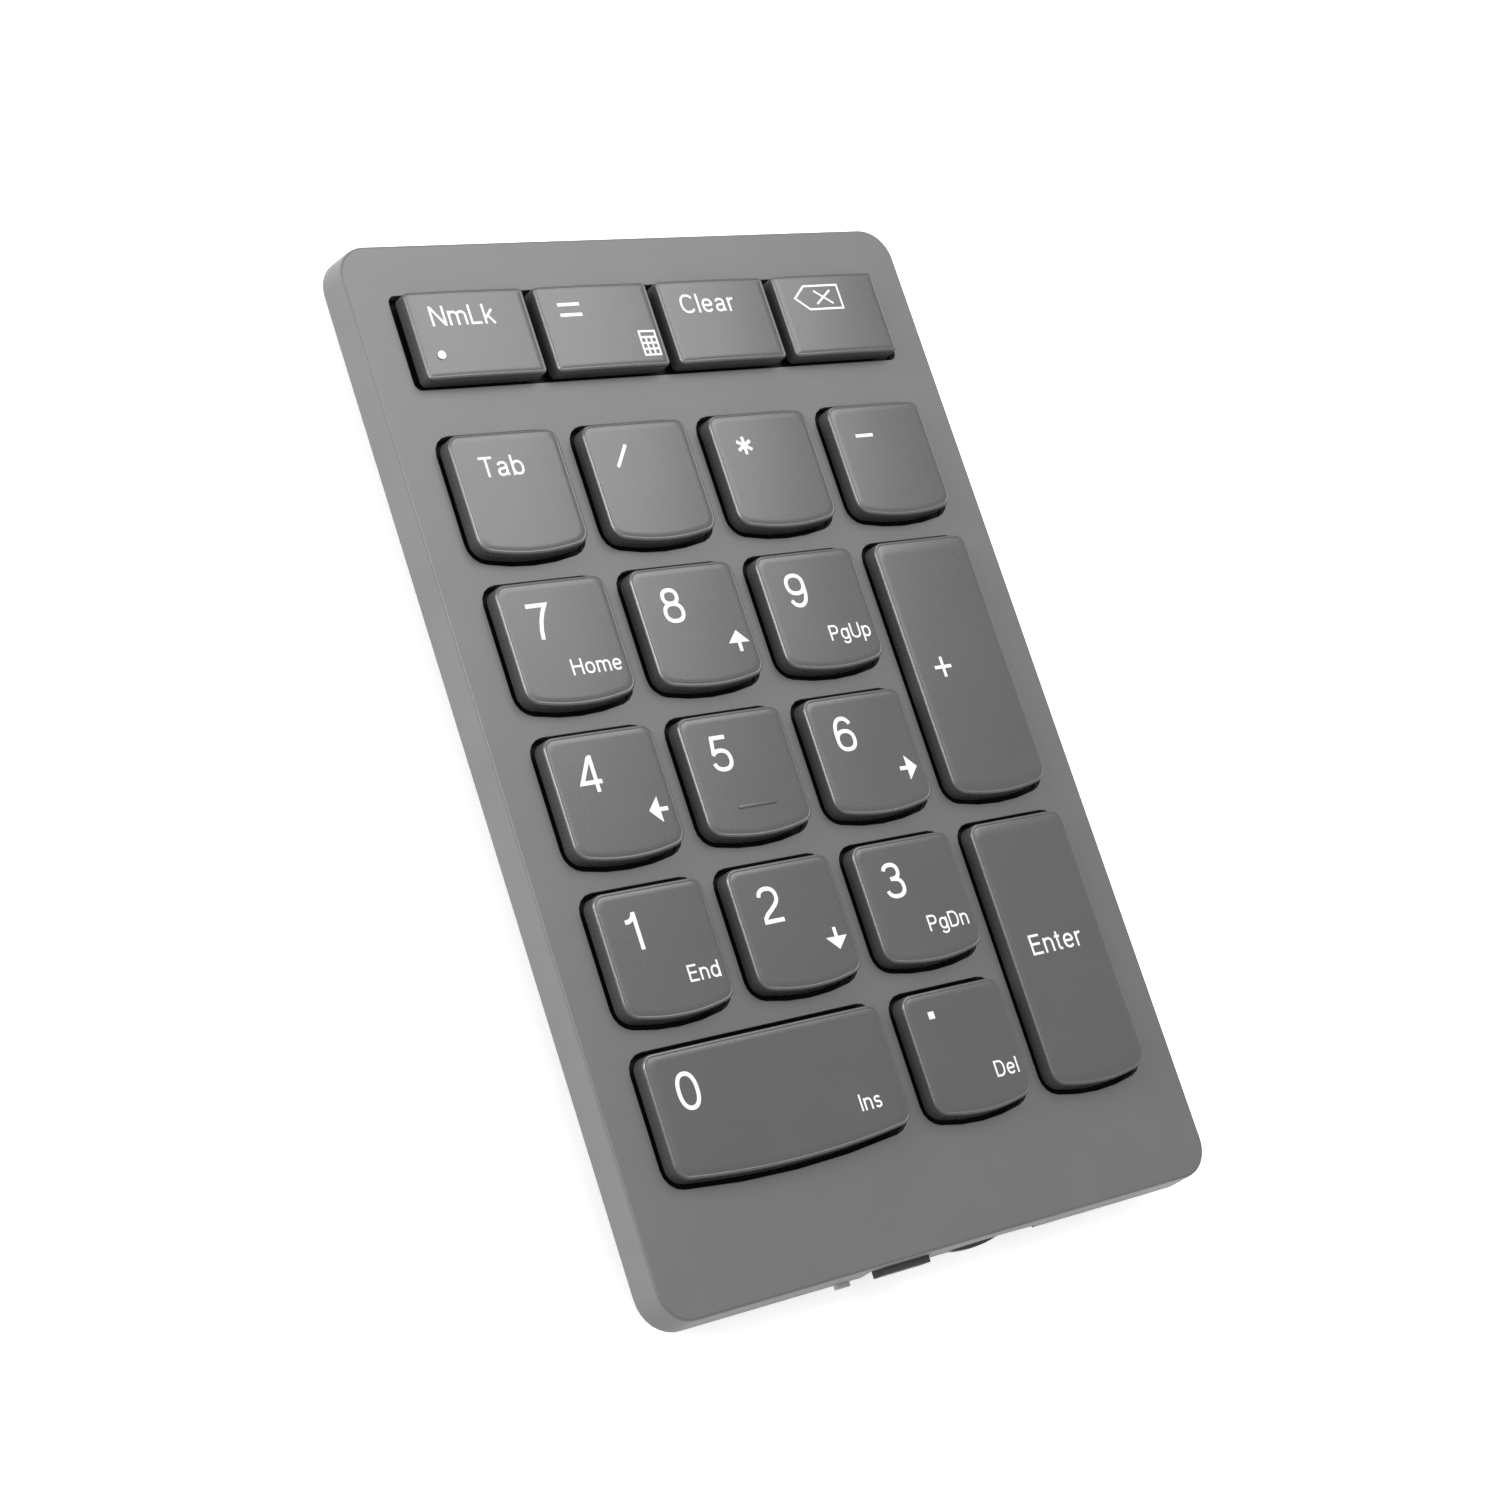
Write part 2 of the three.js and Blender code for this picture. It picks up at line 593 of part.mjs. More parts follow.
function addBottomCase() {
  const neckInset = wallThickness + fitGap;
  const base = prism(insetOutline(neckInset, neckInset), wallBottomZ, baseTopZ, 2);
  const neck = prism(insetOutline(bellySideInset, neckInset), wallBottomZ - 2 * seamGap, baseTopZ, 2);
  const bellyTopZ = wallBottomZ - seamGap;
  const rim = insetOutline(bellySideInset + bellyBevel, bellyEndInset + bellyBevel);
  const belly = flared(rim, -bellyTopZ, -footProud, bellyBevel, bellyBevel, 2).rotate([180, 0, 0]);
  let shell = base.add(neck).add(belly).add(bayLip());
  const hollow = insetOutline(bellySideInset + bellyWall, bellyEndInset + bellyWall);
  shell = shell.subtract(prism(hollow, bellyInnerZ, baseTopZ + slack, 2));
  const bayBackY = 2 * fitGap - halfLength + receiverLength();
  const bayBox = [
    [bayX - bayHalf - bayWall, neckInset - halfLength, footProud + bayFloor / 2],
    [bayX + bayHalf + bayWall, bayBackY + bayWall, baseTopZ],
  ];
  shell = shell.add(boxBetween(...bayBox));
  const tunnel = [
    [bayX - bayHalf, -halfLength - slack, bayFloorZ],
    [bayX + bayHalf, bayBackY, baseTopZ + slack],
  ];
  shell = shell.subtract(boxBetween(...tunnel)).subtract(bayMouth());
  const bossBottomZ = footProud + bellyFloor / 2;
  for (const [x, y] of bossPlaces()) {
    const boss = new THREE.CylinderGeometry(bossRadius, bossRadius, baseTopZ - bossBottomZ, 12);
    boss.rotateX(Math.PI / 2);
    boss.translate(x, y, (baseTopZ + bossBottomZ) / 2);
    shell = shell.add(solidOf(boss));
  }
  for (const foot of footPlaces) {
    const recess = prism(footShape(seamGap), footProud - slack, footProud + footRecess, 3);
    shell = shell.subtract(recess.translate([0, foot.y, 0]));
  }
  const tabTopZ = wallBottomZ - seamGap;
  const tab = [
    [tabX - tabWidth / 2, -halfLength - tabProud, tabTopZ - tabHeight],
    [tabX + tabWidth / 2, bellyEndInset + bellyWall / 2 - halfLength, tabTopZ],
  ];
  shell = shell.add(boxBetween(...tab));
  const pocket = [
    [switchX - switchFlangeWidth / 2 - switchTravel - fitGap, -halfLength - slack, switchBottomZ - seamGap],
    [switchX + switchFlangeWidth / 2 + fitGap, switchFlangeY() + fitGap, baseTopZ + slack],
  ];
  shell = shell.subtract(boxBetween(...pocket)).subtract(socketOpening());
  addNode("bottom_case", shell, materials.bottomGrey);
}

function addFeet() {
  for (const foot of footPlaces) {
    const strip = prism(footShape(0), 0, footProud + footRecess - layerGap, 3);
    addNode(foot.name, strip.translate([0, foot.y, 0]), materials.rubber);
  }
}

// ---- Power switch: a nub through the front wall, on a flange that runs behind it ----
function switchFlangeY() {
  return wallThickness + switchClearance + switchFlangeThickness - halfLength;
}

function addPowerSwitch() {
  const nub = boxBetween(
    [switchLeftX, -halfLength - switchProud, switchBottomZ],
    [switchRightX, switchFlangeY(), switchTopZ],
  );
  const flange = boxBetween(
    [switchX - switchFlangeWidth / 2, switchFlangeY() - switchFlangeThickness, switchBottomZ],
    [switchX + switchFlangeWidth / 2, switchFlangeY(), switchTopZ + 2 * switchClearance],
  );
  addNode("power_switch_slider", nub.add(flange), materials.blackPlastic);
}

// ---- Wireless receiver, stowed plug first ----
function receiverLength() {
  return receiverShellLength + receiverLabelLength + receiverGrooveLength + receiverCapLength;
}

// A bar of the receiver's section along Y, from frontY for `length`, `inset` inside the outline.
function receiverBar(frontY, length, inset, radius) {
  const outline = roundedRectangle(receiverWidth / 2 - inset, receiverThickness / 2 - inset, radius);
  const options = { depth: length, bevelEnabled: false, curveSegments: 2 };
  const geometry = new THREE.ExtrudeGeometry(outline, options);
  geometry.rotateX(Math.PI / 2);
  geometry.translate(bayX, frontY + length, receiverZ);
  return solidOf(geometry);
}

function addReceiver() {
  const frontY = -halfLength;
  const grooveY = frontY + receiverCapLength;
  const labelY = grooveY + receiverGrooveLength;
  const shellY = labelY + receiverLabelLength;
  const tipY = shellY + receiverShellLength;
  const radius = receiverRadius;
  const innerRadius = receiverRadius - receiverShellWall;
  const outer = receiverBar(shellY + layerGap, receiverShellLength - layerGap, 0, radius);
  const bore = receiverBar(shellY - slack, receiverShellLength + 2 * slack, receiverShellWall, innerRadius);
  let shell = outer.subtract(bore);
  for (const side of [-1, 1]) {
    const x = bayX + (side * receiverWindowSpacing) / 2;
    const y = tipY - receiverWindowFromTip;
    const low = [x - receiverWindow / 2, y - receiverWindow / 2, receiverZ];
    const high = [x + receiverWindow / 2, y + receiverWindow / 2, receiverZ + receiverThickness];
    shell = shell.subtract(boxBetween(low, high));
  }
  addNode("receiver_shell", shell, materials.steel);

  const label = receiverBar(labelY, receiverLabelLength, 0, radius);
  const plugRoot = receiverBar(labelY, receiverLabelLength + 1, receiverShellWall + layerGap, innerRadius);
  const groove = receiverBar(frontY + slack, receiverLabelLength + slack, receiverGrooveDepth, innerRadius);
  const cap = receiverBar(frontY, receiverCapLength, 0, radius);
  addNode("receiver_body", label.add(plugRoot).add(groove).add(cap), materials.blackPlastic);

  const tongueHalf = receiverWidth / 2 - receiverRadius - fitGap;
  const tongueBottomZ = receiverZ - receiverThickness / 2 + receiverShellWall + layerGap;
  const tongue = boxBetween(
    [bayX - tongueHalf, shellY + slack + layerGap, tongueBottomZ],
    [bayX + tongueHalf, tipY - fitGap, tongueBottomZ + tongueThickness],
  );
  addNode("receiver_tongue", tongue, materials.blackPlastic);
}

// ---- Charging socket, main board and battery ----
function addSocket() {
  const mouthY = halfLength - bellyEndInset;
  const shell = socketBar(socketWidth, socketHeight, mouthY, socketLength);
  const boreSize = [socketWidth - 2 * socketWall, socketHeight - 2 * socketWall];
  const bore = socketBar(...boreSize, mouthY + slack, socketLength + slack - 2 * socketWall);
  const tongueHalf = socketWidth / 2 - 4 * socketWall;
  const tongue = boxBetween(
    [-tongueHalf, mouthY - socketLength + socketWall, socketMiddleZ - socketTongue / 2],
    [tongueHalf, mouthY - slack, socketMiddleZ + socketTongue / 2],
  );
  addNode("usb_c_socket", shell.subtract(bore).add(tongue), materials.steel);
}

// A C-shaped board: a spine along the left, a rear leg to the socket and a front leg to the switch.
function addBoard() {
  const [[bossX]] = bossPlaces();
  const left = bossX + bossRadius + boardGap;
  const back = halfLength - bellyEndInset - bellyWall - boardGap;
  const frontReach = bayX - bayHalf - bayWall - boardGap;
  const shape = new THREE.Shape();
  shape.moveTo(left, -back);
  shape.lineTo(frontReach, -back);
  shape.lineTo(frontReach, boardLegWidth - back);
  shape.lineTo(left + boardLegWidth, boardLegWidth - back);
  shape.lineTo(left + boardLegWidth, back - boardLegWidth);
  shape.lineTo(boardRearReach, back - boardLegWidth);
  shape.lineTo(boardRearReach, back);
  shape.lineTo(left, back);
  addNode("main_board", prism(shape, boardBottomZ, boardTopZ, 1), materials.board);
}

function addBattery() {
  const middleY = (slotY + sheetFrontY) / 2;
  const low = [batteryX - batteryWidth / 2, middleY - batteryLength / 2, bellyInnerZ + layerGap];
  const size = [batteryWidth, batteryLength, batteryThickness];
  const high = low.map((value, axis) => value + size[axis]);
  addNode("battery", boxBetween(low, high), materials.battery);
}

addTopCase();
addBottomCase();
addFeet();
addStack();
keys.forEach(addScissor);
keys.filter((key) => key.long).forEach(addStabiliser);
keys.forEach(addKeycap);
addPowerSwitch();
addReceiver();
addSocket();
addBoard();
addBattery();

export default keypad;
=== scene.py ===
"""Looks of a slim numeric keypad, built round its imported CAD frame.

Everything is in metres in the row frame: +X right, +Y towards the back row, +Z up. Places come from
the frame's boxes; sizes that the frame doesn't hold are the named values below.
"""
import math

import bmesh
import bpy
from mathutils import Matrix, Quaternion, Vector


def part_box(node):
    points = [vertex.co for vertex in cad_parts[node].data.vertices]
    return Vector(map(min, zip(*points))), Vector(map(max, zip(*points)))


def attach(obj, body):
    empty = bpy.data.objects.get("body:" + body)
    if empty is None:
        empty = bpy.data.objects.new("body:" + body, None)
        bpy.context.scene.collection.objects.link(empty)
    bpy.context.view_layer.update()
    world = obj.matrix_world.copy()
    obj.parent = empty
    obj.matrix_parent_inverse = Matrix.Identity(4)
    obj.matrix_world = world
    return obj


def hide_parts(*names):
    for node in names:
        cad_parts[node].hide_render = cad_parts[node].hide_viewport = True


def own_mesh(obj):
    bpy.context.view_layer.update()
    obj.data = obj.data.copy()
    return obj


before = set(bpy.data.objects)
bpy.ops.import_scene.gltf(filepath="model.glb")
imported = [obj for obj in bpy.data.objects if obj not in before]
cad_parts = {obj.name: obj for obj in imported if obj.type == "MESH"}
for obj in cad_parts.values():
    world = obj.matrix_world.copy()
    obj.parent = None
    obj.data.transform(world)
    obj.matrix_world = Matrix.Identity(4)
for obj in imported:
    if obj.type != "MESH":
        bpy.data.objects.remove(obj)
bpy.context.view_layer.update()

MM = 0.001

# ---- Key names ----
TOP_KEYS = ("num_lock", "equals", "clear", "backspace")
FIELD_KEYS = (
    "tab", "divide", "multiply", "minus",
    "7", "8", "9", "plus",
    "4", "5", "6",
    "1", "2", "3", "enter",
    "0", "decimal",
)
KEYS = TOP_KEYS + FIELD_KEYS

# ---- Levels that the frame gives ----
FACE_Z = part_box("top_case")[1].z
RIM_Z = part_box("key_7")[1].z

# ---- Keycap shape ----
SKIRT_GAP = 0.65 * MM
OPENING_BULGE = 1.3 * MM
BACK_RADIUS = 1.65 * MM
FRONT_RADIUS = 2.1 * MM
TOP_ROW_RADIUS = 0.7 * MM
CAP_WALL = 1.0 * MM
CAP_TOP = 1.1 * MM
WALL_DRAFT = 0.07 * MM
SHOULDER_WIDTH = 0.16 * MM
SHOULDER_HEIGHT = 0.22 * MM
RIM_WIDTH = 0.16 * MM
RIM_RISE = 0.05 * MM
GROOVE_WIDTH = 0.3 * MM
GROOVE_DEPTH = 0.03 * MM
BAR_RISE = 0.13 * MM
CROWN_HEIGHT = 0.15 * MM
SHOULDER_FOOT = 0.1 * MM
SKIRT_BREAK = 0.05 * MM
SMALLEST_RADIUS = 0.12 * MM
SHOULDER_TURN = math.radians(66)
SHOULDER_RINGS = 8

# ---- Rubber sheet, and the radius and height of a dome on it in millimetres ----
DOME_FILM = 0.2 * MM
DOME_PROFILE = (
    (2.9, 0.0), (2.75, 0.25), (2.2, 1.2), (1.85, 1.65),
    (1.6, 1.85), (1.3, 2.0), (1.25, 2.55), (1.1, 2.68),
)

# ---- Rounded edges ----
SOFT_EDGE = 0.12 * MM
BOTTOM_EDGE = 0.1 * MM
PLUG_EDGE = 0.08 * MM
RECEIVER_EDGE = 0.15 * MM
CREASE_ANGLE = math.radians(35)
KEPT_CREASE_ANGLE = math.radians(50)

# ---- Case: rounding of its rim, the band that counts as rim, and the tab at the front, coloured lighter as a painted highlight ----
RIM_ROUNDING = 0.3 * MM
OPENING_SHARE = 0.25
RIM_BAND = 1.5 * MM
CORNER_REACH = 1.93
LEVEL_SLACK = 0.01 * MM
UNDERSIDE_SLACK = 0.02 * MM
TAB_X = -14.6 * MM
TAB_HALF_WIDTH = 1.2 * MM
TAB_DEPTH = 0.8 * MM

# ---- Contacts of the receiver's plug; the first and last places are from the plug's end ----
CONTACT_COUNT = 4
CONTACT_SPACING_SHARE = 0.23
CONTACT_HALF_WIDTH = 0.5 * MM
CONTACT_START = 7.5 * MM
CONTACT_END = 0.8 * MM
CONTACT_SUNK = 0.02 * MM
CONTACT_PROUD = 0.05 * MM
CONTACT_EDGE = 0.015 * MM

# ---- Surfaces ----
CLOUD_SIZE = 9 * MM
ROUGH_SPREAD = 0.05

# ---- Ink of the legends ----
INK = 0.012 * MM
INK_LAYER = 0.001 * MM
INK_ROOT = 0.03 * MM
INK_STEP = 1.0 * MM
SHARPEST_MITRE = 0.8
LETTER_GAP = 0.16
LETTER_SQUARENESS = 2.3

# ---- Places and sizes of the legends, in millimetres; places are from a keycap's middle or its sides ----
LEGEND_LEFT = 3.4
TOP_ROW_LEFT = 2.8
LEGEND_RIGHT = 1.4
LONG_KEY_RIGHT = 4.0
TOP_ROW_Y = 2.4
SIGN_Y = 3.5
ENTER_Y = 1.0
DIGIT_HEIGHT = 4.5
DIGIT_BASE = 0.6
DIGIT_STROKE = 0.52
WORD_HEIGHT = 2.6
WORD_STROKE = 0.31
SMALL_HEIGHT = 2.0
SMALL_BASE = -4.2
SMALL_STROKE = 0.25
SIGN_STROKE = 0.44
EQUALS_LENGTH = 3.2
EQUALS_HALF_GAP = 0.7
SLASH_START = 0.3
SLASH_WIDTH = 2.0
SLASH_HALF_HEIGHT = 1.4
STAR_ARM = 1.2
STAR_CENTRE = 1.0
MINUS_LENGTH = 2.8
PLUS_ARM = 1.35
PLUS_CENTRE = 1.3
POINT_SIZE = 0.9
POINT_Y = 4.9
ARROW_RIGHT = 2.75
ARROW_Y = -2.6
ARROW_STROKE = 0.5
CELL = 0.8
CALCULATOR_RIGHT = 1.1
CALCULATOR_STROKE = 0.27
BACKSPACE_POINT = 1.9
BACKSPACE_LENGTH = 7.4
BACKSPACE_HALF_HEIGHT = 1.65
BACKSPACE_CROSS = (3.3, 6.0)
BACKSPACE_CROSS_RISE = 0.95
BACKSPACE_STROKE = 0.28
HOMING_BAR_Y = -4.0
HOMING_BAR_HALF_LENGTH = 2.8
HOMING_BAR_HALF_WIDTH = 0.22

# ---- Camera, as azimuth and elevation round the case, roll about the line of sight ----
VIEW_AZIMUTH = -71.0
VIEW_ELEVATION = 50.5
VIEW_ROLL = 56.96
VIEW_DISTANCE = 377.05 * MM
VIEW_AIM = Vector((-6.54, -2.66, 0)) * MM
LENS = 75.4

# ---- Sky and floor ----
SKY_STRENGTH = 0.95
FLOOR_GLOW = 0.42
FLOOR_GAP = 0.02 * MM
FLOOR_HALF_SIZE = 3


# ---- Mesh tools ----
def new_object(name, mesh, material):
    mesh.materials.clear()
    mesh.materials.append(material)
    piece = bpy.data.objects.new(name, mesh)
    bpy.context.scene.collection.objects.link(piece)
    return piece


def mesh_of(name, points, faces):
    """A mesh from points and faces, facing out, smooth apart from its sharp edges."""
    mesh = bpy.data.meshes.new(name)
    mesh.from_pydata([tuple(p) for p in points], [], faces)
    bm = bmesh.new()
    bm.from_mesh(mesh)
    bmesh.ops.recalc_face_normals(bm, faces=bm.faces)
    bm.to_mesh(mesh)
    bm.free()
    mesh.shade_smooth()
    mesh.set_sharp_from_angle(angle=CREASE_ANGLE)
    return mesh


def loft(name, rings, material):
    """A skin over rings of equal length, with both ends closed by a fan."""
    count = len(rings[0])
    points = [p for ring in rings for p in ring]
    faces = []
    for r in range(len(rings) - 1):
        low, high = r * count, (r + 1) * count
        for i in range(count):
            j = (i + 1) % count
            faces.append((low + i, low + j, high + j, high + i))
    for start in (0, (len(rings) - 1) * count):
        ring = points[start:start + count]
        points.append(sum(ring, Vector()) / count)
        faces += [(start + i, start + (i + 1) % count, len(points) - 1) for i in range(count)]
    return new_object(name, mesh_of(name, points, faces), material)


def softened(name, node, material, width, rule=None, segments=3):
    """A copy of a CAD node whose sharp edges are rounded: all of them, or each by the share of the width
    that rule(edge) gives."""
    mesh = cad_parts[node].data.copy()
    bm = bmesh.new()
    bm.from_mesh(mesh)
    bmesh.ops.remove_doubles(bm, verts=bm.verts, dist=1e-7)
    bmesh.ops.dissolve_limit(bm, angle_limit=math.radians(0.2), verts=bm.verts, edges=bm.edges)
    layer = bm.edges.layers.float.new("bevel_weight_edge")
    for edge in bm.edges:
        sharp = len(edge.link_faces) == 2 and edge.calc_face_angle() > CREASE_ANGLE
        share = 1.0 if rule is None else rule(edge)
        edge[layer] = share if sharp else 0.0
    bm.to_mesh(mesh)
    bm.free()
    piece = new_object(name, mesh, material)
    bevel = piece.modifiers.new("rounding", "BEVEL")
    bevel.limit_method = "WEIGHT"
    bevel.width = width
    bevel.segments = segments
    bevel.use_clamp_overlap = rule is None
    bevel.harden_normals = False
    mesh.shade_smooth()
    smooth = piece.modifiers.new("normals", "WEIGHTED_NORMAL")
    smooth.keep_sharp = True
    mesh.set_sharp_from_angle(angle=KEPT_CREASE_ANGLE)
    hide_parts(node)
    return piece


def rounded_box(name, low, high, radius, material, segments=3):
    """A block between two corners with rounded edges."""
    bm = bmesh.new()
    bmesh.ops.create_cube(bm, size=1)
    for v in bm.verts:
        v.co = Vector(h if c > 0 else l for c, l, h in zip(v.co, low, high))
    bmesh.ops.bevel(bm, geom=bm.edges[:], offset=radius, segments=segments, profile=0.5, affect="EDGES")
    mesh = bpy.data.meshes.new(name)
    bm.to_mesh(mesh)
    bm.free()
    mesh.shade_smooth()
    mesh.set_sharp_from_angle(angle=KEPT_CREASE_ANGLE)
    return new_object(name, mesh, material)


# ---- Materials ----
class Nodes:
    """Short names for building one node material."""

    def __init__(self, name):
        self.material = bpy.data.materials.new(name)
        self.material.use_nodes = True
        self.tree = self.material.node_tree
        self.shader = self.tree.nodes["Principled BSDF"]
        self.place = self.add("ShaderNodeTexCoord").outputs["Object"]

    def add(self, kind, **values):
        node = self.tree.nodes.new(kind)
        for key, value in values.items():
            setattr(node, key, value)
        return node

    def link(self, output, socket):
        self.tree.links.new(output, socket)

    def noise(self, size, detail, stretch=(1, 1, 1)):
        """Noise with features about `size` metres across."""
        mapping = self.add("ShaderNodeMapping")
        mapping.inputs["Scale"].default_value = stretch
        self.link(self.place, mapping.inputs["Vector"])
        texture = self.add("ShaderNodeTexNoise")
        texture.inputs["Scale"].default_value = 1 / size
        texture.inputs["Detail"].default_value = detail
        self.link(mapping.outputs["Vector"], texture.inputs["Vector"])
        return texture.outputs["Fac"]

    def ramp(self, value, low, high):
        """Two colours or two greys, mixed by a value."""
        ramp = self.add("ShaderNodeValToRGB")
        ramp.color_ramp.elements[0].position = 0.3
        ramp.color_ramp.elements[1].position = 0.7
        ramp.color_ramp.elements[0].color = low
        ramp.color_ramp.elements[1].color = high
        self.link(value, ramp.inputs["Fac"])
        return ramp.outputs["Color"]

    def bump(self, height, distance):
        bump = self.add("ShaderNodeBump")
        bump.inputs["Strength"].default_value = 1.0
        bump.inputs["Distance"].default_value = distance
        self.link(height, bump.inputs["Height"])
        self.link(bump.outputs["Normal"], self.shader.inputs["Normal"])


def grey(level, tint=(1, 1, 1)):
    return (level * tint[0], level * tint[1], level * tint[2], 1)


def surface(name, level, tint=(1, 1, 1), spread=0.04, roughness=0.45, grain=0.12 * MM,
            grain_depth=0.003 * MM, metallic=0.0, specular=0.5, stretch=(1, 1, 1)):
    """A moulded, rolled or printed surface: cloudy colour, uneven gloss and a fine grain."""
    made = Nodes(name)
    cloud = made.noise(CLOUD_SIZE, 3.0)
    low, high = level * (1 - spread), level * (1 + spread)
    made.link(made.ramp(cloud, grey(low, tint), grey(high, tint)), made.shader.inputs["Base Color"])
    fine = made.noise(grain, 2.0, stretch)
    least, most = roughness - ROUGH_SPREAD, roughness + ROUGH_SPREAD
    gloss = made.ramp(fine, grey(least), grey(most))
    made.link(gloss, made.shader.inputs["Roughness"])
    made.bump(fine, grain_depth)
    made.shader.inputs["Metallic"].default_value = metallic
    made.shader.inputs["Specular IOR Level"].default_value = specular
    return made.material


CASE = surface("case_plastic", 0.067, roughness=0.4, grain=0.1 * MM, grain_depth=0.0015 * MM)
KEY = surface("key_plastic", 0.045, roughness=0.28, grain=0.09 * MM, grain_depth=0.0012 * MM)
# Outer side walls of the case: the same plastic as the face, coloured lighter as painted light on the
# sides, with less shine
SIDE_WALL_PAINTED_LIGHT = surface("case_side_painted_light", 0.115, roughness=0.5, specular=0.15, grain=0.1 * MM,
               grain_depth=0.0015 * MM)
# A small patch at the front of the bottom case, coloured much lighter than the case plastic: a painted
# highlight
TAB_PAINTED_HIGHLIGHT = surface("tab_painted_highlight", 0.34, roughness=0.35, grain=0.1 * MM, grain_depth=0.001 * MM)
BOTTOM = surface("bottom_plastic", 0.05, roughness=0.6, grain=0.25 * MM, grain_depth=0.01 * MM)
BLACK = surface("black_plastic", 0.01, roughness=0.45, grain=0.15 * MM, grain_depth=0.004 * MM)
RECEIVER = surface("receiver_plastic", 0.018, roughness=0.5, grain=0.15 * MM, grain_depth=0.004 * MM)
WHITE = surface("white_plastic", 0.7, tint=(1, 1, 0.97), roughness=0.4, grain=0.3 * MM)
INK_WHITE = surface("legend_ink", 0.52, roughness=0.5, spread=0.015, grain=0.08 * MM,
                    grain_depth=0.001 * MM)
LENS_MATERIAL = surface("light_lens", 0.9, roughness=0.2, spread=0.02, grain=0.3 * MM,
                        grain_depth=0.0005 * MM)
STEEL = surface("steel", 0.55, tint=(0.98, 1, 1.02), roughness=0.32, metallic=1.0, grain=0.2 * MM,
                grain_depth=0.002 * MM, stretch=(1, 0.08, 1))
PLUG = surface("plug_steel", 0.75, roughness=0.25, metallic=1.0, grain=0.15 * MM,
               grain_depth=0.001 * MM, stretch=(1, 0.06, 1))
GOLD = surface("contact_gold", 0.75, tint=(1, 0.76, 0.36), roughness=0.25, metallic=1.0, grain=0.2 * MM,
               grain_depth=0.001 * MM)
FILM = surface("membrane_film", 0.5, tint=(0.96, 1, 1), roughness=0.3, grain=0.5 * MM,
               grain_depth=0.001 * MM)
# Rubber dome sheet and domes: a real rubber part, coloured near-black with little shine as painted shade in
# the gaps round the keycaps
DOME_RUBBER_PAINTED_SHADE = surface("silicone_rubber", 0.008, roughness=0.85, specular=0.15, grain=0.3 * MM,
                   grain_depth=0.003 * MM)
BOARD = surface("circuit_board", 0.09, tint=(0.35, 1, 0.5), roughness=0.35, grain=0.6 * MM)
FOIL = surface("battery_foil", 0.6, tint=(0.98, 1, 1.03), roughness=0.38, metallic=0.8, grain=1.2 * MM,
               grain_depth=0.03 * MM)
RUBBER = surface("foot_rubber", 0.02, roughness=0.8, grain=0.2 * MM, grain_depth=0.008 * MM)


# ---- Keycaps ----
def arc(centre, radius, start, end, count):
    """Points on an arc in the plane, without its last one."""
    angles = [start + (end - start) * i / count for i in range(count)]
    return [Vector((centre[0] + radius * math.cos(a), centre[1] + radius * math.sin(a), 0)) for a in angles]


def side_points(start, end, count):
    return [start + (end - start) * i / count for i in range(count)]


def cap_outline(half_x, half_y, inset, bowed):
    """A keycap's outline round its own middle, `inset` inside its skirt: square-shouldered in the top
    row, and bowed out at the front in the others. Every inset has the same count of points."""
    side, back = half_x - inset, half_y - inset
    back_radius = max((BACK_RADIUS if bowed else TOP_ROW_RADIUS) - inset, SMALLEST_RADIUS)
    front_radius = max((FRONT_RADIUS if bowed else TOP_ROW_RADIUS) - inset, SMALLEST_RADIUS)
    if bowed:
        opening_half = half_x + SKIRT_GAP
        arc_radius = (opening_half ** 2 + OPENING_BULGE ** 2) / (2 * OPENING_BULGE)
        arc_y = arc_radius - half_y - SKIRT_GAP
        front_arc = arc_radius - SKIRT_GAP - inset
        corner_x = side - front_radius
        corner_y = arc_y - math.sqrt((front_arc - front_radius) ** 2 - corner_x ** 2)
        turn = math.atan2(corner_y - arc_y, corner_x)
        front = arc((0, arc_y), front_arc, -math.pi - turn, turn, 20)
    else:
        corner_x, corner_y, turn = side - front_radius, front_radius - back, -math.pi / 2
        front = side_points(Vector((-corner_x, -back, 0)), Vector((corner_x, -back, 0)), 20)
    right_back = Vector((side, back - back_radius, 0))
    left_back = Vector((-side, back - back_radius, 0))
    top_x = side - back_radius
    outline = front
    outline += arc((corner_x, corner_y), front_radius, turn, 0, 8)
    outline += side_points(Vector((side, corner_y, 0)), right_back, 14)
    outline += arc((top_x, back - back_radius), back_radius, 0, math.pi / 2, 8)
    outline += side_points(Vector((top_x, back, 0)), Vector((-top_x, back, 0)), 20)
    outline += arc((-top_x, back - back_radius), back_radius, math.pi / 2, math.pi, 8)
    outline += side_points(left_back, Vector((-side, corner_y, 0)), 14)
    outline += arc((-corner_x, corner_y), front_radius, -math.pi, -math.pi - turn, 8)
    return outline


def cap_size(name):
    low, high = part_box("key_" + name)
    middle = (low + high) / 2
    return middle, (high.x - low.x) / 2, (high.y - low.y) / 2


def crown_z(x, half_x):
    """Level of a keycap's top, which is crowned across its width."""
    across = min(abs(x) / (half_x - WALL_DRAFT - SHOULDER_WIDTH), 1)
    return RIM_Z - BAR_RISE - CROWN_HEIGHT * across ** 2


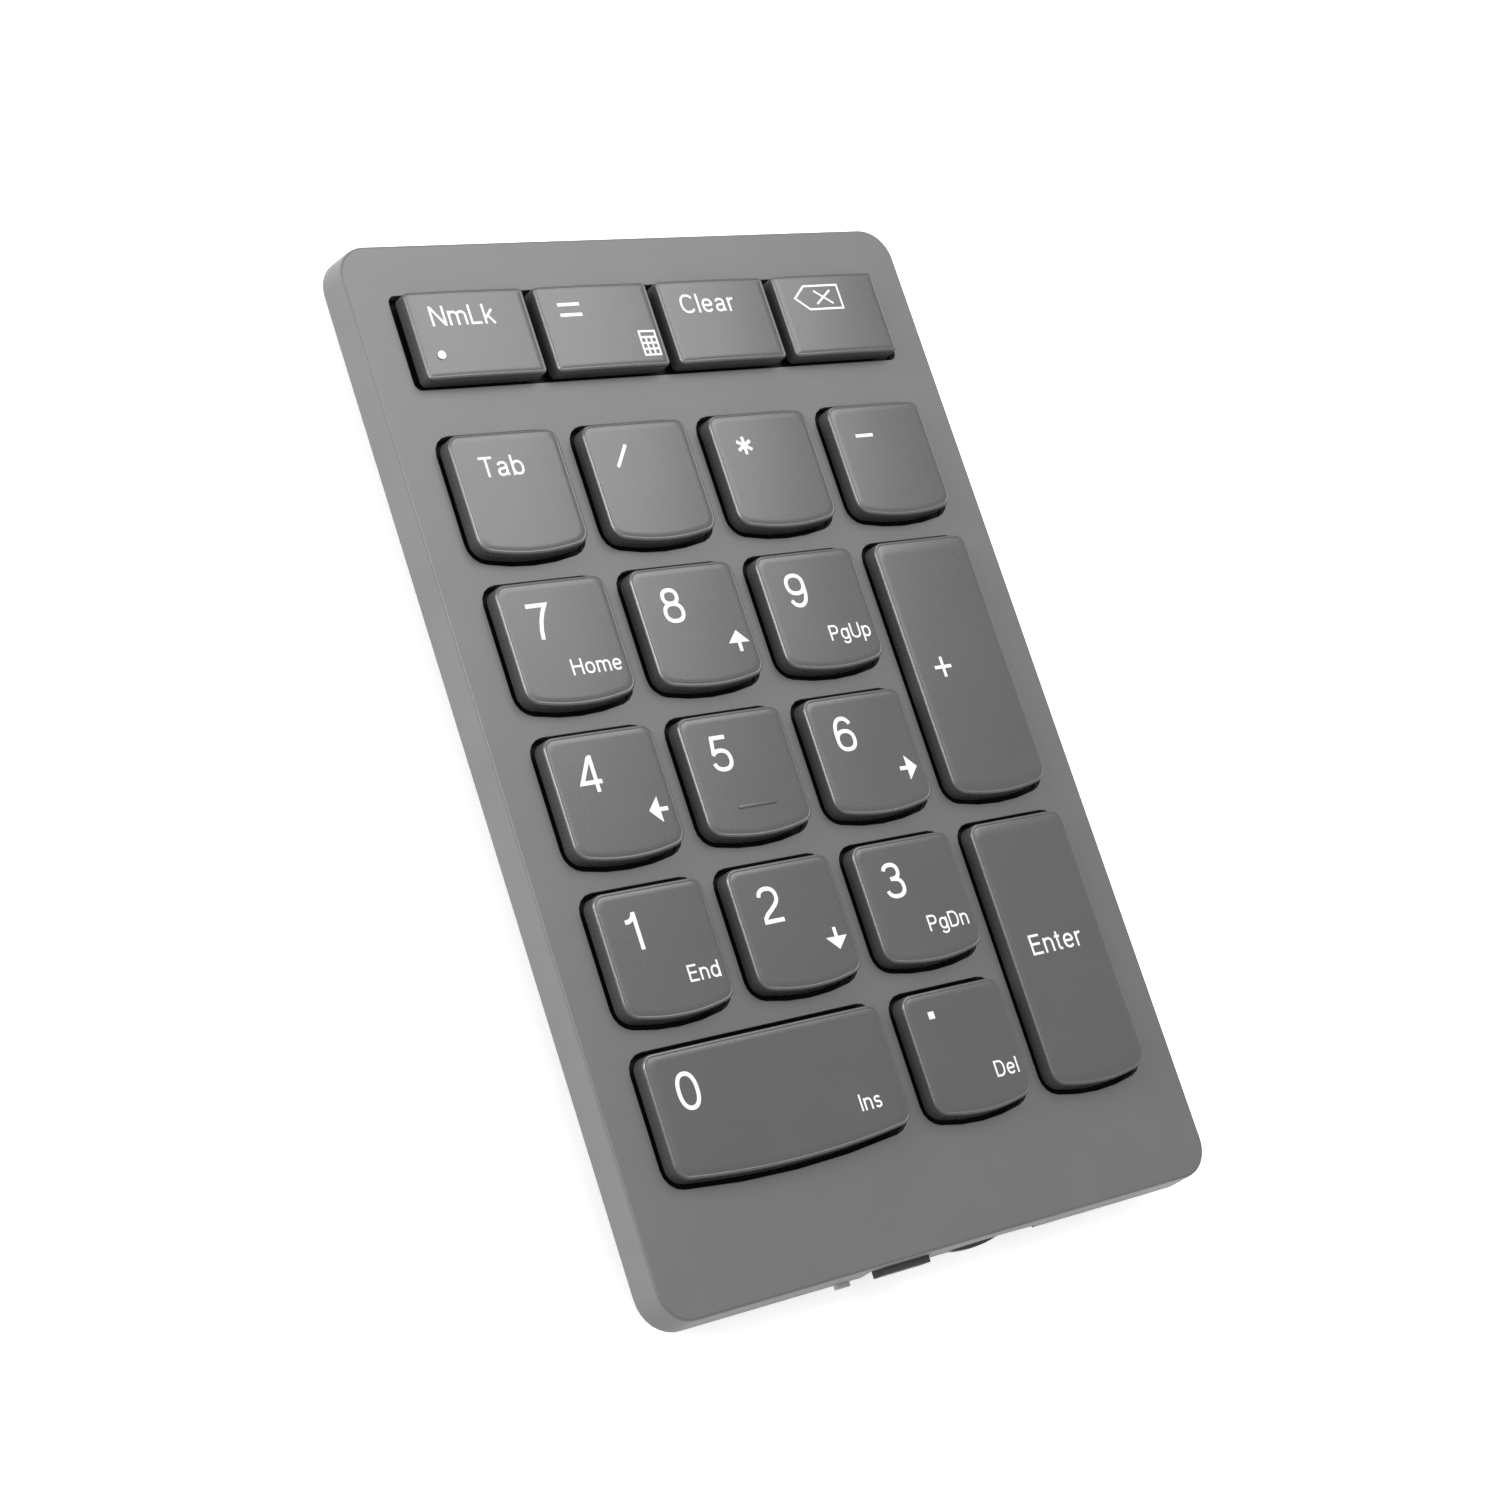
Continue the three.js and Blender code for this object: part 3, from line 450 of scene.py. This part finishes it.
def keycap_rings(half_x, half_y, bowed):
    """Rings from the ceiling of the hollow, down inside the wall, up outside it and over the rim."""
    def ring(inset, level):
        outline = cap_outline(half_x, half_y, inset, bowed)
        return [Vector((p.x, p.y, level)) for p in outline]

    def crowned_ring(inset, drop):
        outline = cap_outline(half_x, half_y, inset, bowed)
        return [Vector((p.x, p.y, crown_z(p.x, half_x) - drop)) for p in outline]

    skirt_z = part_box("key_7")[0].z
    wall = CAP_WALL if bowed else TOP_ROW_RADIUS
    rings = [
        ring(wall, RIM_Z - CAP_TOP), ring(wall, skirt_z),
        ring(SKIRT_BREAK, skirt_z), ring(0, skirt_z + SKIRT_BREAK),
        ring(WALL_DRAFT * 0.9, RIM_Z - BAR_RISE - CROWN_HEIGHT - SHOULDER_HEIGHT - SHOULDER_FOOT),
    ]
    strip_start = WALL_DRAFT + SHOULDER_WIDTH * (1 - math.cos(SHOULDER_TURN))
    for i in range(SHOULDER_RINGS):
        turn = SHOULDER_TURN * i / (SHOULDER_RINGS - 1)
        inset = WALL_DRAFT + SHOULDER_WIDTH * (1 - math.cos(turn))
        drop = RIM_RISE + SHOULDER_HEIGHT * (math.sin(SHOULDER_TURN) - math.sin(turn))
        rings.append(crowned_ring(inset, drop))
    for share in (0.1, 0.9, 1):
        rings.append(crowned_ring(strip_start + RIM_WIDTH * share, RIM_RISE * (1 - share)))
    rim = strip_start + RIM_WIDTH
    for share in (0.08, 0.3, 0.5, 0.7, 1):
        dip = GROOVE_DEPTH * math.sin(math.pi * share)
        rings.append(crowned_ring(rim + GROOVE_WIDTH * share, dip))
    last = cap_outline(half_x, half_y, rim + GROOVE_WIDTH, bowed)
    for share in (0.93, 0.82, 0.66, 0.5, 0.33, 0.16):
        rings.append([Vector((p.x * share, p.y * share, crown_z(p.x * share, half_x))) for p in last])
    return rings


def make_keycap(name):
    middle, half_x, half_y = cap_size(name)
    rings = keycap_rings(half_x, half_y, name not in TOP_KEYS)
    placed = [[p + Vector((middle.x, middle.y, 0)) for p in ring] for ring in rings]
    cap = loft("cap_" + name, placed, KEY)
    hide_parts("key_" + name)
    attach(cap, "keycap_" + name)


# ---- Legends: thin ink strokes on the keycaps. Places are millimetres from the cap's middle ----
def oval(x, y, half_width, half_height, start=0, end=360):
    """Points on a slightly squared oval between two angles in degrees; a whole turn leaves out its last."""
    whole = abs(end - start) == 360
    count = max(round(abs(end - start) / 9), 4)
    points = []
    for i in range(count if whole else count + 1):
        angle = math.radians(start + (end - start) * i / count)
        c, s = math.cos(angle), math.sin(angle)
        spread = (abs(c) ** LETTER_SQUARENESS + abs(s) ** LETTER_SQUARENESS) ** (-1 / LETTER_SQUARENESS)
        points.append((x + half_width * c * spread, y + half_height * s * spread))
    return points


def open_stroke(*points):
    return list(points), False


def loop(x, y, half_width, half_height):
    return oval(x, y, half_width, half_height), True


def arch(left, right):
    """A small letter's arch from its left stem over to a right stem that stands on the line."""
    return open_stroke(*oval((left + right) / 2, 0.44, (right - left) / 2, 0.23, 180, 0), (right, 0))


# Centre lines of each character, for a capital of height 1, and its width.
SIX = [loop(0.34, 0.32, 0.275, 0.262), open_stroke(*oval(0.36, 0.47, 0.295, 0.472, 38, 180), (0.065, 0.33))]
NINE = [([(0.68 - x, 1 - y) for x, y in points], closed) for points, closed in SIX]
LETTERS = {
    "0": (0.68, [loop(0.34, 0.5, 0.28, 0.442)]),
    "1": (0.41, [open_stroke((0.345, 0), (0.345, 1)),
                 open_stroke((0.04, 0.76), (0.16, 0.77), (0.25, 0.82), (0.31, 0.9), (0.335, 0.98))]),
    "2": (0.68, [open_stroke(*oval(0.34, 0.7, 0.27, 0.242, 170, -30), (0.49, 0.47), (0.33, 0.35),
                             (0.18, 0.25), (0.09, 0.15), (0.08, 0.058), (0.66, 0.058))]),
    "3": (0.68, [open_stroke(*oval(0.33, 0.745, 0.235, 0.197, 165, -90), (0.25, 0.548)),
                 open_stroke(*oval(0.33, 0.3, 0.285, 0.242, 90, -165))]),
    "4": (0.7, [open_stroke((0.51, 0), (0.51, 1)),
                open_stroke((0.47, 0.95), (0.08, 0.275), (0.69, 0.275))]),
    "5": (0.68, [open_stroke((0.62, 0.942), (0.185, 0.942), (0.115, 0.48)),
                 open_stroke(*oval(0.335, 0.32, 0.28, 0.262, 147, -165))]),
    "6": (0.68, SIX),
    "7": (0.69, [open_stroke((0.03, 0.942), (0.62, 0.942), (0.49, 0.74), (0.38, 0.5), (0.31, 0.25),
                             (0.28, 0))]),
    "8": (0.68, [loop(0.34, 0.75, 0.225, 0.192), loop(0.34, 0.3, 0.28, 0.242)]),
    "9": (0.68, NINE),
    "N": (0.78, [open_stroke((0.06, 0), (0.06, 1)), open_stroke((0.08, 0.96), (0.7, 0.04)),
                 open_stroke((0.72, 0), (0.72, 1))]),
    "m": (0.98, [open_stroke((0.06, 0), (0.06, 0.73)), arch(0.06, 0.49), arch(0.49, 0.92)]),
    "L": (0.6, [open_stroke((0.06, 1), (0.06, 0.06), (0.6, 0.06))]),
    "k": (0.6, [open_stroke((0.06, 0), (0.06, 1)), open_stroke((0.52, 0.72), (0.08, 0.27)),
                open_stroke((0.23, 0.42), (0.55, 0))]),
    "C": (0.82, [open_stroke(*oval(0.43, 0.5, 0.37, 0.44, 38, 322))]),
    "l": (0.12, [open_stroke((0.06, 0), (0.06, 1))]),
    "e": (0.64, [open_stroke(*oval(0.32, 0.365, 0.26, 0.305, 4, 322)),
                open_stroke((0.07, 0.38), (0.575, 0.38))]),
    "a": (0.62, [open_stroke(*oval(0.29, 0.5, 0.21, 0.17, 165, 0), (0.5, 0.1), (0.58, 0.06)),
                 open_stroke((0.49, 0.42), (0.29, 0.375), *oval(0.24, 0.215, 0.18, 0.155, 110, 270),
                             (0.38, 0.09), (0.49, 0.2))]),
    "r": (0.38, [open_stroke((0.06, 0), (0.06, 0.73)),
                open_stroke(*oval(0.32, 0.43, 0.26, 0.24, 180, 80))]),
    "T": (0.72, [open_stroke((0, 0.94), (0.72, 0.94)), open_stroke((0.36, 0), (0.36, 0.94))]),
    "b": (0.66, [open_stroke((0.06, 0), (0.06, 1)), loop(0.33, 0.365, 0.26, 0.305)]),
    "H": (0.78, [open_stroke((0.06, 0), (0.06, 1)), open_stroke((0.72, 0), (0.72, 1)),
                 open_stroke((0.06, 0.53), (0.72, 0.53))]),
    "o": (0.66, [loop(0.33, 0.365, 0.27, 0.305)]),
    "P": (0.7, [open_stroke((0.06, 0), (0.06, 0.94), *oval(0.38, 0.7, 0.26, 0.24, 90, -90), (0.06, 0.46))]),
    "g": (0.64, [loop(0.31, 0.365, 0.25, 0.305),
                 open_stroke((0.58, 0.73), *oval(0.33, -0.03, 0.25, 0.2, 0, -160))]),
    "U": (0.76, [open_stroke((0.06, 1), *oval(0.38, 0.36, 0.32, 0.3, 180, 360), (0.7, 1))]),
    "p": (0.66, [open_stroke((0.06, -0.28), (0.06, 0.73)), loop(0.33, 0.365, 0.26, 0.305)]),
    "E": (0.66, [open_stroke((0.65, 0.94), (0.06, 0.94), (0.06, 0.06), (0.66, 0.06)),
                 open_stroke((0.06, 0.53), (0.6, 0.53))]),
    "n": (0.6, [open_stroke((0.06, 0), (0.06, 0.73)), arch(0.06, 0.54)]),
    "d": (0.66, [open_stroke((0.6, 0), (0.6, 1)), loop(0.33, 0.365, 0.26, 0.305)]),
    "D": (0.76, [open_stroke((0.06, 0), (0.06, 0.94), *oval(0.36, 0.5, 0.34, 0.44, 90, -90),
                             (0.06, 0.06))]),
    "I": (0.12, [open_stroke((0.06, 0), (0.06, 1))]),
    "s": (0.54, [open_stroke(*oval(0.27, 0.52, 0.19, 0.15, 25, 250),
                             *oval(0.27, 0.215, 0.2, 0.155, 70, -155))]),
    "t": (0.34, [open_stroke((0.15, 0.92), (0.15, 0.16), (0.2, 0.075), (0.33, 0.065)),
                 open_stroke((0, 0.68), (0.32, 0.68))]),
}


def ink_stroke(bm, points, closed, width, top):
    """One raised stroke of even width along its centre line, with mitred corners and square ends."""
    count = len(points)
    sections = []
    for i, here in enumerate(points):
        before = points[i - 1] if closed or i > 0 else here * 2 - points[1]
        after = points[(i + 1) % count] if closed or i < count - 1 else here * 2 - points[i - 1]
        way = (here - before).normalized() + (after - here).normalized()
        side = Vector((-way.y, way.x, 0)) * width / max(way.length_squared, SHARPEST_MITRE)
        sections.append([bm.verts.new(here + side * sign + Vector((0, 0, z)))
                         for sign, z in ((1, top), (-1, top), (-1, -INK_ROOT), (1, -INK_ROOT))])
    for i in range(count if closed else count - 1):
        near, far = sections[i], sections[(i + 1) % count]
        for k in range(4):
            bm.faces.new((near[k], far[k], far[(k + 1) % 4], near[(k + 1) % 4]))
    if not closed:
        bm.faces.new(sections[0])
        bm.faces.new(sections[-1][::-1])


def ink_patch(bm, corners, top):
    """A filled flat shape."""
    low, high = ([bm.verts.new(p + Vector((0, 0, z))) for p in corners] for z in (-INK_ROOT, top))
    bm.faces.new(high)
    bm.faces.new(low[::-1])
    for i in range(len(corners)):
        j = (i + 1) % len(corners)
        bm.faces.new((low[i], low[j], high[j], high[i]))


def divided(points, closed):
    """The same line with more points, so that it can follow the keycap's crown."""
    ends = points[1:] + points[:1] if closed else points[1:]
    line = []
    for a, b in zip(points, ends):
        count = max(math.ceil((b - a).length / INK_STEP), 1)
        line += [a.lerp(b, i / count) for i in range(count)]
    return line if closed else line + points[-1:]


def print_legend(key, label, strokes, width, patches=()):
    """Strokes and filled shapes, in millimetres from the keycap's middle, laid on its crowned top."""
    middle, half_x, _ = cap_size(key)
    bm = bmesh.new()
    for layer, (points, closed) in enumerate(strokes):
        line = divided([Vector((middle.x + x * MM, middle.y + y * MM, 0)) for x, y in points], closed)
        ink_stroke(bm, line, closed, width * MM, INK + layer * INK_LAYER)
    for patch in patches:
        ink_patch(bm, [Vector((middle.x + x * MM, middle.y + y * MM, 0)) for x, y in patch], INK)
    for v in bm.verts:
        v.co.z += crown_z(v.co.x - middle.x, half_x)
    bmesh.ops.recalc_face_normals(bm, faces=bm.faces)
    mesh = bpy.data.meshes.new(label)
    bm.to_mesh(mesh)
    bm.free()
    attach(new_object(label, mesh, INK_WHITE), "keycap_" + key)


def left_place(key):
    """Where a keycap's main legend starts, in millimetres from the keycap's middle."""
    inset = TOP_ROW_LEFT if key in TOP_KEYS else LEGEND_LEFT
    return inset - cap_size(key)[1] / MM


def word_width(word, height):
    return (sum(LETTERS[letter][0] + LETTER_GAP for letter in word) - LETTER_GAP) * height


def print_word(key, word, left, bottom, height, stroke):
    """Lettering that starts at a place on its keycap, with capitals `height` high."""
    strokes, start = [], left
    for letter in word:
        letter_width, lines = LETTERS[letter]
        for points, closed in lines:
            strokes.append(([(start + x * height, bottom + y * height) for x, y in points], closed))
        start += (letter_width + LETTER_GAP) * height
    print_legend(key, "legend_" + word, strokes, stroke)


def dash(low_x, low_y, high_x, high_y):
    return open_stroke((low_x, low_y), (high_x, high_y))


def print_arrow(key, label, turn):
    """An arrow with a broad head on a short stem, turned from pointing to the back row."""
    c, s = math.cos(math.radians(turn)), math.sin(math.radians(turn))
    middle_x = cap_size(key)[1] / MM - ARROW_RIGHT

    def placed(points):
        return [(middle_x + c * x - s * y, ARROW_Y + s * x + c * y) for x, y in points]

    stem = open_stroke(*placed([(0, -1.35), (0, -0.1)]))
    head = placed([(-1.6, -0.2), (1.6, -0.2), (0, 1.4)])
    print_legend(key, label, [stem], ARROW_STROKE, [head])


def print_calculator():
    """Three columns and four rows of cells, with the top row left open as the display."""
    right, low = cap_size("equals")[1] / MM - CALCULATOR_RIGHT, SMALL_BASE
    left, high = right - 3 * CELL, low + 4 * CELL
    outline = ([(left, low), (right, low), (right, high), (left, high)], True)
    rows = [dash(left, low + CELL * i, right, low + CELL * i) for i in (1, 2, 3)]
    columns = [dash(left + CELL * i, low, left + CELL * i, low + 3 * CELL) for i in (1, 2)]
    print_legend("equals", "legend_calculator", [outline] + rows + columns, CALCULATOR_STROKE)


def print_backspace():
    """A box with a pointed left end and a cross in it."""
    tip = left_place("backspace")
    shoulder, end = tip + BACKSPACE_POINT, tip + BACKSPACE_LENGTH
    low, high = TOP_ROW_Y - BACKSPACE_HALF_HEIGHT, TOP_ROW_Y + BACKSPACE_HALF_HEIGHT
    outline = ([(tip, TOP_ROW_Y), (shoulder, low), (end, low), (end, high), (shoulder, high)], True)
    left, right = (tip + place for place in BACKSPACE_CROSS)
    cross = [dash(left, TOP_ROW_Y - rise, right, TOP_ROW_Y + rise)
             for rise in (-BACKSPACE_CROSS_RISE, BACKSPACE_CROSS_RISE)]
    print_legend("backspace", "legend_backspace", [outline] + cross, BACKSPACE_STROKE)


def print_signs():
    left = left_place("equals")
    bars = [dash(left, TOP_ROW_Y + side, left + EQUALS_LENGTH, TOP_ROW_Y + side)
            for side in (-EQUALS_HALF_GAP, EQUALS_HALF_GAP)]
    print_legend("equals", "legend_equals", bars, SIGN_STROKE)
    left = left_place("divide") + SLASH_START
    slash = dash(left, SIGN_Y - SLASH_HALF_HEIGHT, left + SLASH_WIDTH, SIGN_Y + SLASH_HALF_HEIGHT)
    print_legend("divide", "legend_divide", [slash], SIGN_STROKE)
    turns = [math.radians(angle) for angle in (30, 90, 150)]
    arms = [(STAR_ARM * math.cos(turn), STAR_ARM * math.sin(turn)) for turn in turns]
    star_x = left_place("multiply") + STAR_CENTRE
    star = [dash(star_x - x, SIGN_Y - y, star_x + x, SIGN_Y + y) for x, y in arms]
    print_legend("multiply", "legend_multiply", star, SIGN_STROKE)
    left = left_place("minus")
    print_legend("minus", "legend_minus", [dash(left, SIGN_Y, left + MINUS_LENGTH, SIGN_Y)], SIGN_STROKE)
    plus_x = left_place("plus") + PLUS_CENTRE
    plus = [dash(plus_x - PLUS_ARM, 0, plus_x + PLUS_ARM, 0), dash(plus_x, -PLUS_ARM, plus_x, PLUS_ARM)]
    print_legend("plus", "legend_plus", plus, SIGN_STROKE)
    left = left_place("decimal")
    print_legend("decimal", "legend_point", [dash(left, POINT_Y, left + POINT_SIZE, POINT_Y)], POINT_SIZE)


def make_legends():
    for key in "0123456789":
        print_word(key, key, left_place(key), DIGIT_BASE, DIGIT_HEIGHT, DIGIT_STROKE)
    for key, word, middle_y in (("num_lock", "NmLk", TOP_ROW_Y), ("clear", "Clear", TOP_ROW_Y),
                                ("tab", "Tab", SIGN_Y), ("enter", "Enter", ENTER_Y)):
        print_word(key, word, left_place(key), middle_y - WORD_HEIGHT / 2, WORD_HEIGHT, WORD_STROKE)
    for key, word in (("7", "Home"), ("9", "PgUp"), ("1", "End"), ("3", "PgDn"), ("0", "Ins"),
                      ("decimal", "Del")):
        right = cap_size(key)[1] / MM - (LONG_KEY_RIGHT if key == "0" else LEGEND_RIGHT)
        left = right - word_width(word, SMALL_HEIGHT)
        print_word(key, word, left, SMALL_BASE, SMALL_HEIGHT, SMALL_STROKE)
    for key, label, turn in (("8", "legend_up", 0), ("4", "legend_left", 90), ("6", "legend_right", -90),
                             ("2", "legend_down", 180)):
        print_arrow(key, label, turn)
    print_signs()
    print_calculator()
    print_backspace()


def make_homing_bar():
    middle, half_x, _ = cap_size("5")
    half, depth = HOMING_BAR_HALF_LENGTH * MM, HOMING_BAR_HALF_WIDTH * MM
    bar_y = middle.y + HOMING_BAR_Y * MM
    low = Vector((middle.x - half, bar_y - depth, crown_z(half, half_x) - 0.1 * MM))
    high = Vector((middle.x + half, bar_y + depth, RIM_Z))
    piece = rounded_box("homing_bar", low, high, 0.1 * MM, KEY, 4)
    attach(piece, "keycap_5")


# ---- Under the keycaps ----
def make_scissors():
    for name in KEYS:
        node = "scissor_" + name
        piece = softened("support_" + name, node, WHITE, SOFT_EDGE, segments=2)
        for modifier in list(piece.modifiers):
            if modifier.type == "WEIGHTED_NORMAL":
                piece.modifiers.remove(modifier)
        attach(piece, "case")
        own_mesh(piece)


def make_domes():
    low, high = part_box("rubber_dome_sheet")
    sheet_top = low.z + DOME_FILM
    # The sheet and the domes below the keycaps are near-black: painted shade seen through the gaps
    sheet = rounded_box("dome_sheet", low, Vector((high.x, high.y, sheet_top)), 0.05 * MM, DOME_RUBBER_PAINTED_SHADE)
    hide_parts("rubber_dome_sheet")
    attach(sheet, "case")
    for name in KEYS:
        middle, _, _ = cap_size(name)
        rings = []
        for radius, height in DOME_PROFILE:
            ring = arc((middle.x, middle.y), radius * MM, 0, math.tau, 32)
            rings.append([Vector((p.x, p.y, sheet_top + height * MM)) for p in ring])
        dome = loft("dome_" + name, rings, DOME_RUBBER_PAINTED_SHADE)
        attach(dome, "case")
        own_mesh(dome)


# ---- Case, feet and the pieces at the front and back edges ----
def make_case():
    face_low, face_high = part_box("top_case")
    inner_x = (face_high.x - face_low.x) / 2 - RIM_BAND
    inner_y = (face_high.y - face_low.y) / 2 - RIM_BAND
    middle = (face_low + face_high) / 2

    def near_rim(point):
        across, along = abs(point.x - middle.x) / inner_x, abs(point.y - middle.y) / inner_y
        return max(across, along) > 1 or across + along > CORNER_REACH

    def face_edges(edge):
        """The rim of the face takes the whole width, and the key openings a part of it."""
        if any(abs(v.co.z - FACE_Z) > LEVEL_SLACK for v in edge.verts):
            return 0.0
        return 1.0 if near_rim((edge.verts[0].co + edge.verts[1].co) / 2) else OPENING_SHARE

    top = softened("top_shell", "top_case", CASE, RIM_ROUNDING, face_edges, 4)
    top.data.materials.append(SIDE_WALL_PAINTED_LIGHT)
    # Outward-facing side walls near the rim take the lighter copy of the case plastic: painted light
    for face in top.data.polygons:
        outward = face.normal.xy.dot((face.center - middle).xy) > 0
        if outward and abs(face.normal.z) < 0.5 and near_rim(face.center):
            face.material_index = 1
    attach(top, "case")

    def below_wall(edge):
        return float(all(v.co.z < face_low.z - UNDERSIDE_SLACK for v in edge.verts))

    bottom = softened("bottom_shell", "bottom_case", BOTTOM, BOTTOM_EDGE, below_wall)
    tab_back_y = face_low.y + TAB_DEPTH
    bm = bmesh.new()
    bm.from_mesh(bottom.data)
    parts = bm.verts[:] + bm.edges[:] + bm.faces[:]
    bmesh.ops.bisect_plane(bm, geom=parts, plane_co=(0, tab_back_y, 0), plane_no=(0, 1, 0))
    bm.to_mesh(bottom.data)
    bm.free()
    # Faces of the tab at the front take the light colour: a painted highlight on the case's dark plastic
    bottom.data.materials.append(TAB_PAINTED_HIGHLIGHT)
    for face in bottom.data.polygons:
        beside = abs(face.center.x - TAB_X) < TAB_HALF_WIDTH
        if beside and face.center.y < tab_back_y:
            face.material_index = 1
    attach(bottom, "case")


def make_feet():
    for node in ("foot_front", "foot_rear"):
        piece = softened("strip_" + node[5:], node, RUBBER, SOFT_EDGE)
        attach(piece, "case")


def make_switch():
    piece = softened("switch_nub", "power_switch_slider", BLACK, SOFT_EDGE)
    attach(piece, "power_switch")


def make_receiver():
    shell = softened("plug_shell", "receiver_shell", PLUG, PLUG_EDGE)
    body = softened("plug_body", "receiver_body", RECEIVER, RECEIVER_EDGE)
    for piece in (shell, body):
        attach(piece, "receiver")
    low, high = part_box("receiver_tongue")
    for i in range(CONTACT_COUNT):
        share = 0.5 + (i - (CONTACT_COUNT - 1) / 2) * CONTACT_SPACING_SHARE
        x = low.x + (high.x - low.x) * share
        start = Vector((x - CONTACT_HALF_WIDTH, high.y - CONTACT_START, high.z - CONTACT_SUNK))
        end = Vector((x + CONTACT_HALF_WIDTH, high.y - CONTACT_END, high.z + CONTACT_PROUD))
        contact = rounded_box("plug_contact_" + str(i), start, end, CONTACT_EDGE, GOLD, 2)
        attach(contact, "receiver")


def dress_nodes():
    """Finishes for the CAD nodes that stay as they are."""
    finishes = {
        "membrane_sheet": FILM, "key_support_plate": STEEL, "main_board": BOARD, "battery": FOIL,
        "usb_c_socket": STEEL, "receiver_tongue": BLACK, "num_lock_lens": LENS_MATERIAL,
        "stabiliser_0": STEEL, "stabiliser_plus": STEEL, "stabiliser_enter": STEEL,
    }
    for node, material in finishes.items():
        mesh_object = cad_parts[node]
        for material_slot in mesh_object.material_slots:
            material_slot.material = material


# ---- Stage ----
def make_camera():
    face_low, face_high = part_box("top_case")
    aim = Vector(((face_low.x + face_high.x) / 2, (face_low.y + face_high.y) / 2, FACE_Z)) + VIEW_AIM
    a, e = math.radians(VIEW_AZIMUTH), math.radians(VIEW_ELEVATION)
    back = Vector((math.sin(a) * math.cos(e), -math.cos(a) * math.cos(e), math.sin(e)))
    data = bpy.data.cameras.new("camera")
    data.lens = LENS
    data.sensor_width = 36
    data.clip_start = 0.01
    camera = bpy.data.objects.new("camera", data)
    camera.location = aim + back * VIEW_DISTANCE
    camera.rotation_mode = "QUATERNION"
    roll = Quaternion((0, 0, 1), math.radians(VIEW_ROLL))
    camera.rotation_quaternion = (-back).to_track_quat("-Z", "Y") @ roll
    bpy.context.scene.collection.objects.link(camera)
    bpy.context.scene.camera = camera


def make_floor():
    floor_material = surface("floor", 0.9, spread=0.01, roughness=0.7, grain=2 * MM, grain_depth=0.01 * MM)
    shader = floor_material.node_tree.nodes["Principled BSDF"]
    shader.inputs["Emission Color"].default_value = (1, 1, 1, 1)
    shader.inputs["Emission Strength"].default_value = FLOOR_GLOW
    bm = bmesh.new()
    bmesh.ops.create_grid(bm, x_segments=4, y_segments=4, size=FLOOR_HALF_SIZE)
    mesh = bpy.data.meshes.new("floor")
    bmesh.ops.translate(bm, vec=(0, 0, -FLOOR_GAP), verts=bm.verts)
    bm.to_mesh(mesh)
    bm.free()
    new_object("floor", mesh, floor_material)


def soft_light(name, direction, distance, size, power):
    """A round soft light that shines from a direction onto the keypad."""
    data = bpy.data.lights.new(name, "AREA")
    data.shape = "DISK"
    data.size = size
    data.energy = power
    lamp = bpy.data.objects.new(name, data)
    lamp.location = Vector(direction).normalized() * distance
    lamp.rotation_mode = "QUATERNION"
    lamp.rotation_quaternion = (-lamp.location).to_track_quat("-Z", "Y")
    bpy.context.scene.collection.objects.link(lamp)


def make_light():
    world = bpy.data.worlds.new("studio")
    world.use_nodes = True
    world.node_tree.nodes["Background"].inputs["Color"].default_value = (1, 1, 1, 1)
    world.node_tree.nodes["Background"].inputs["Strength"].default_value = SKY_STRENGTH
    bpy.context.scene.world = world
    bpy.context.scene.view_settings.view_transform = "Standard"
    soft_light("key_light", (0.39, 0.49, 0.77), 0.9, 0.52, 4.0)
    soft_light("rim_light", (-0.04, 0.26, 0.96), 0.9, 0.26, 4.5)
    soft_light("side_light", (-0.85, 0.45, 0.3), 0.7, 0.45, 4.0)


make_camera()
make_light()
make_floor()
for key_name in KEYS:
    make_keycap(key_name)
make_legends()
make_homing_bar()
make_scissors()
make_domes()
make_case()
make_feet()
make_switch()
make_receiver()
dress_nodes()
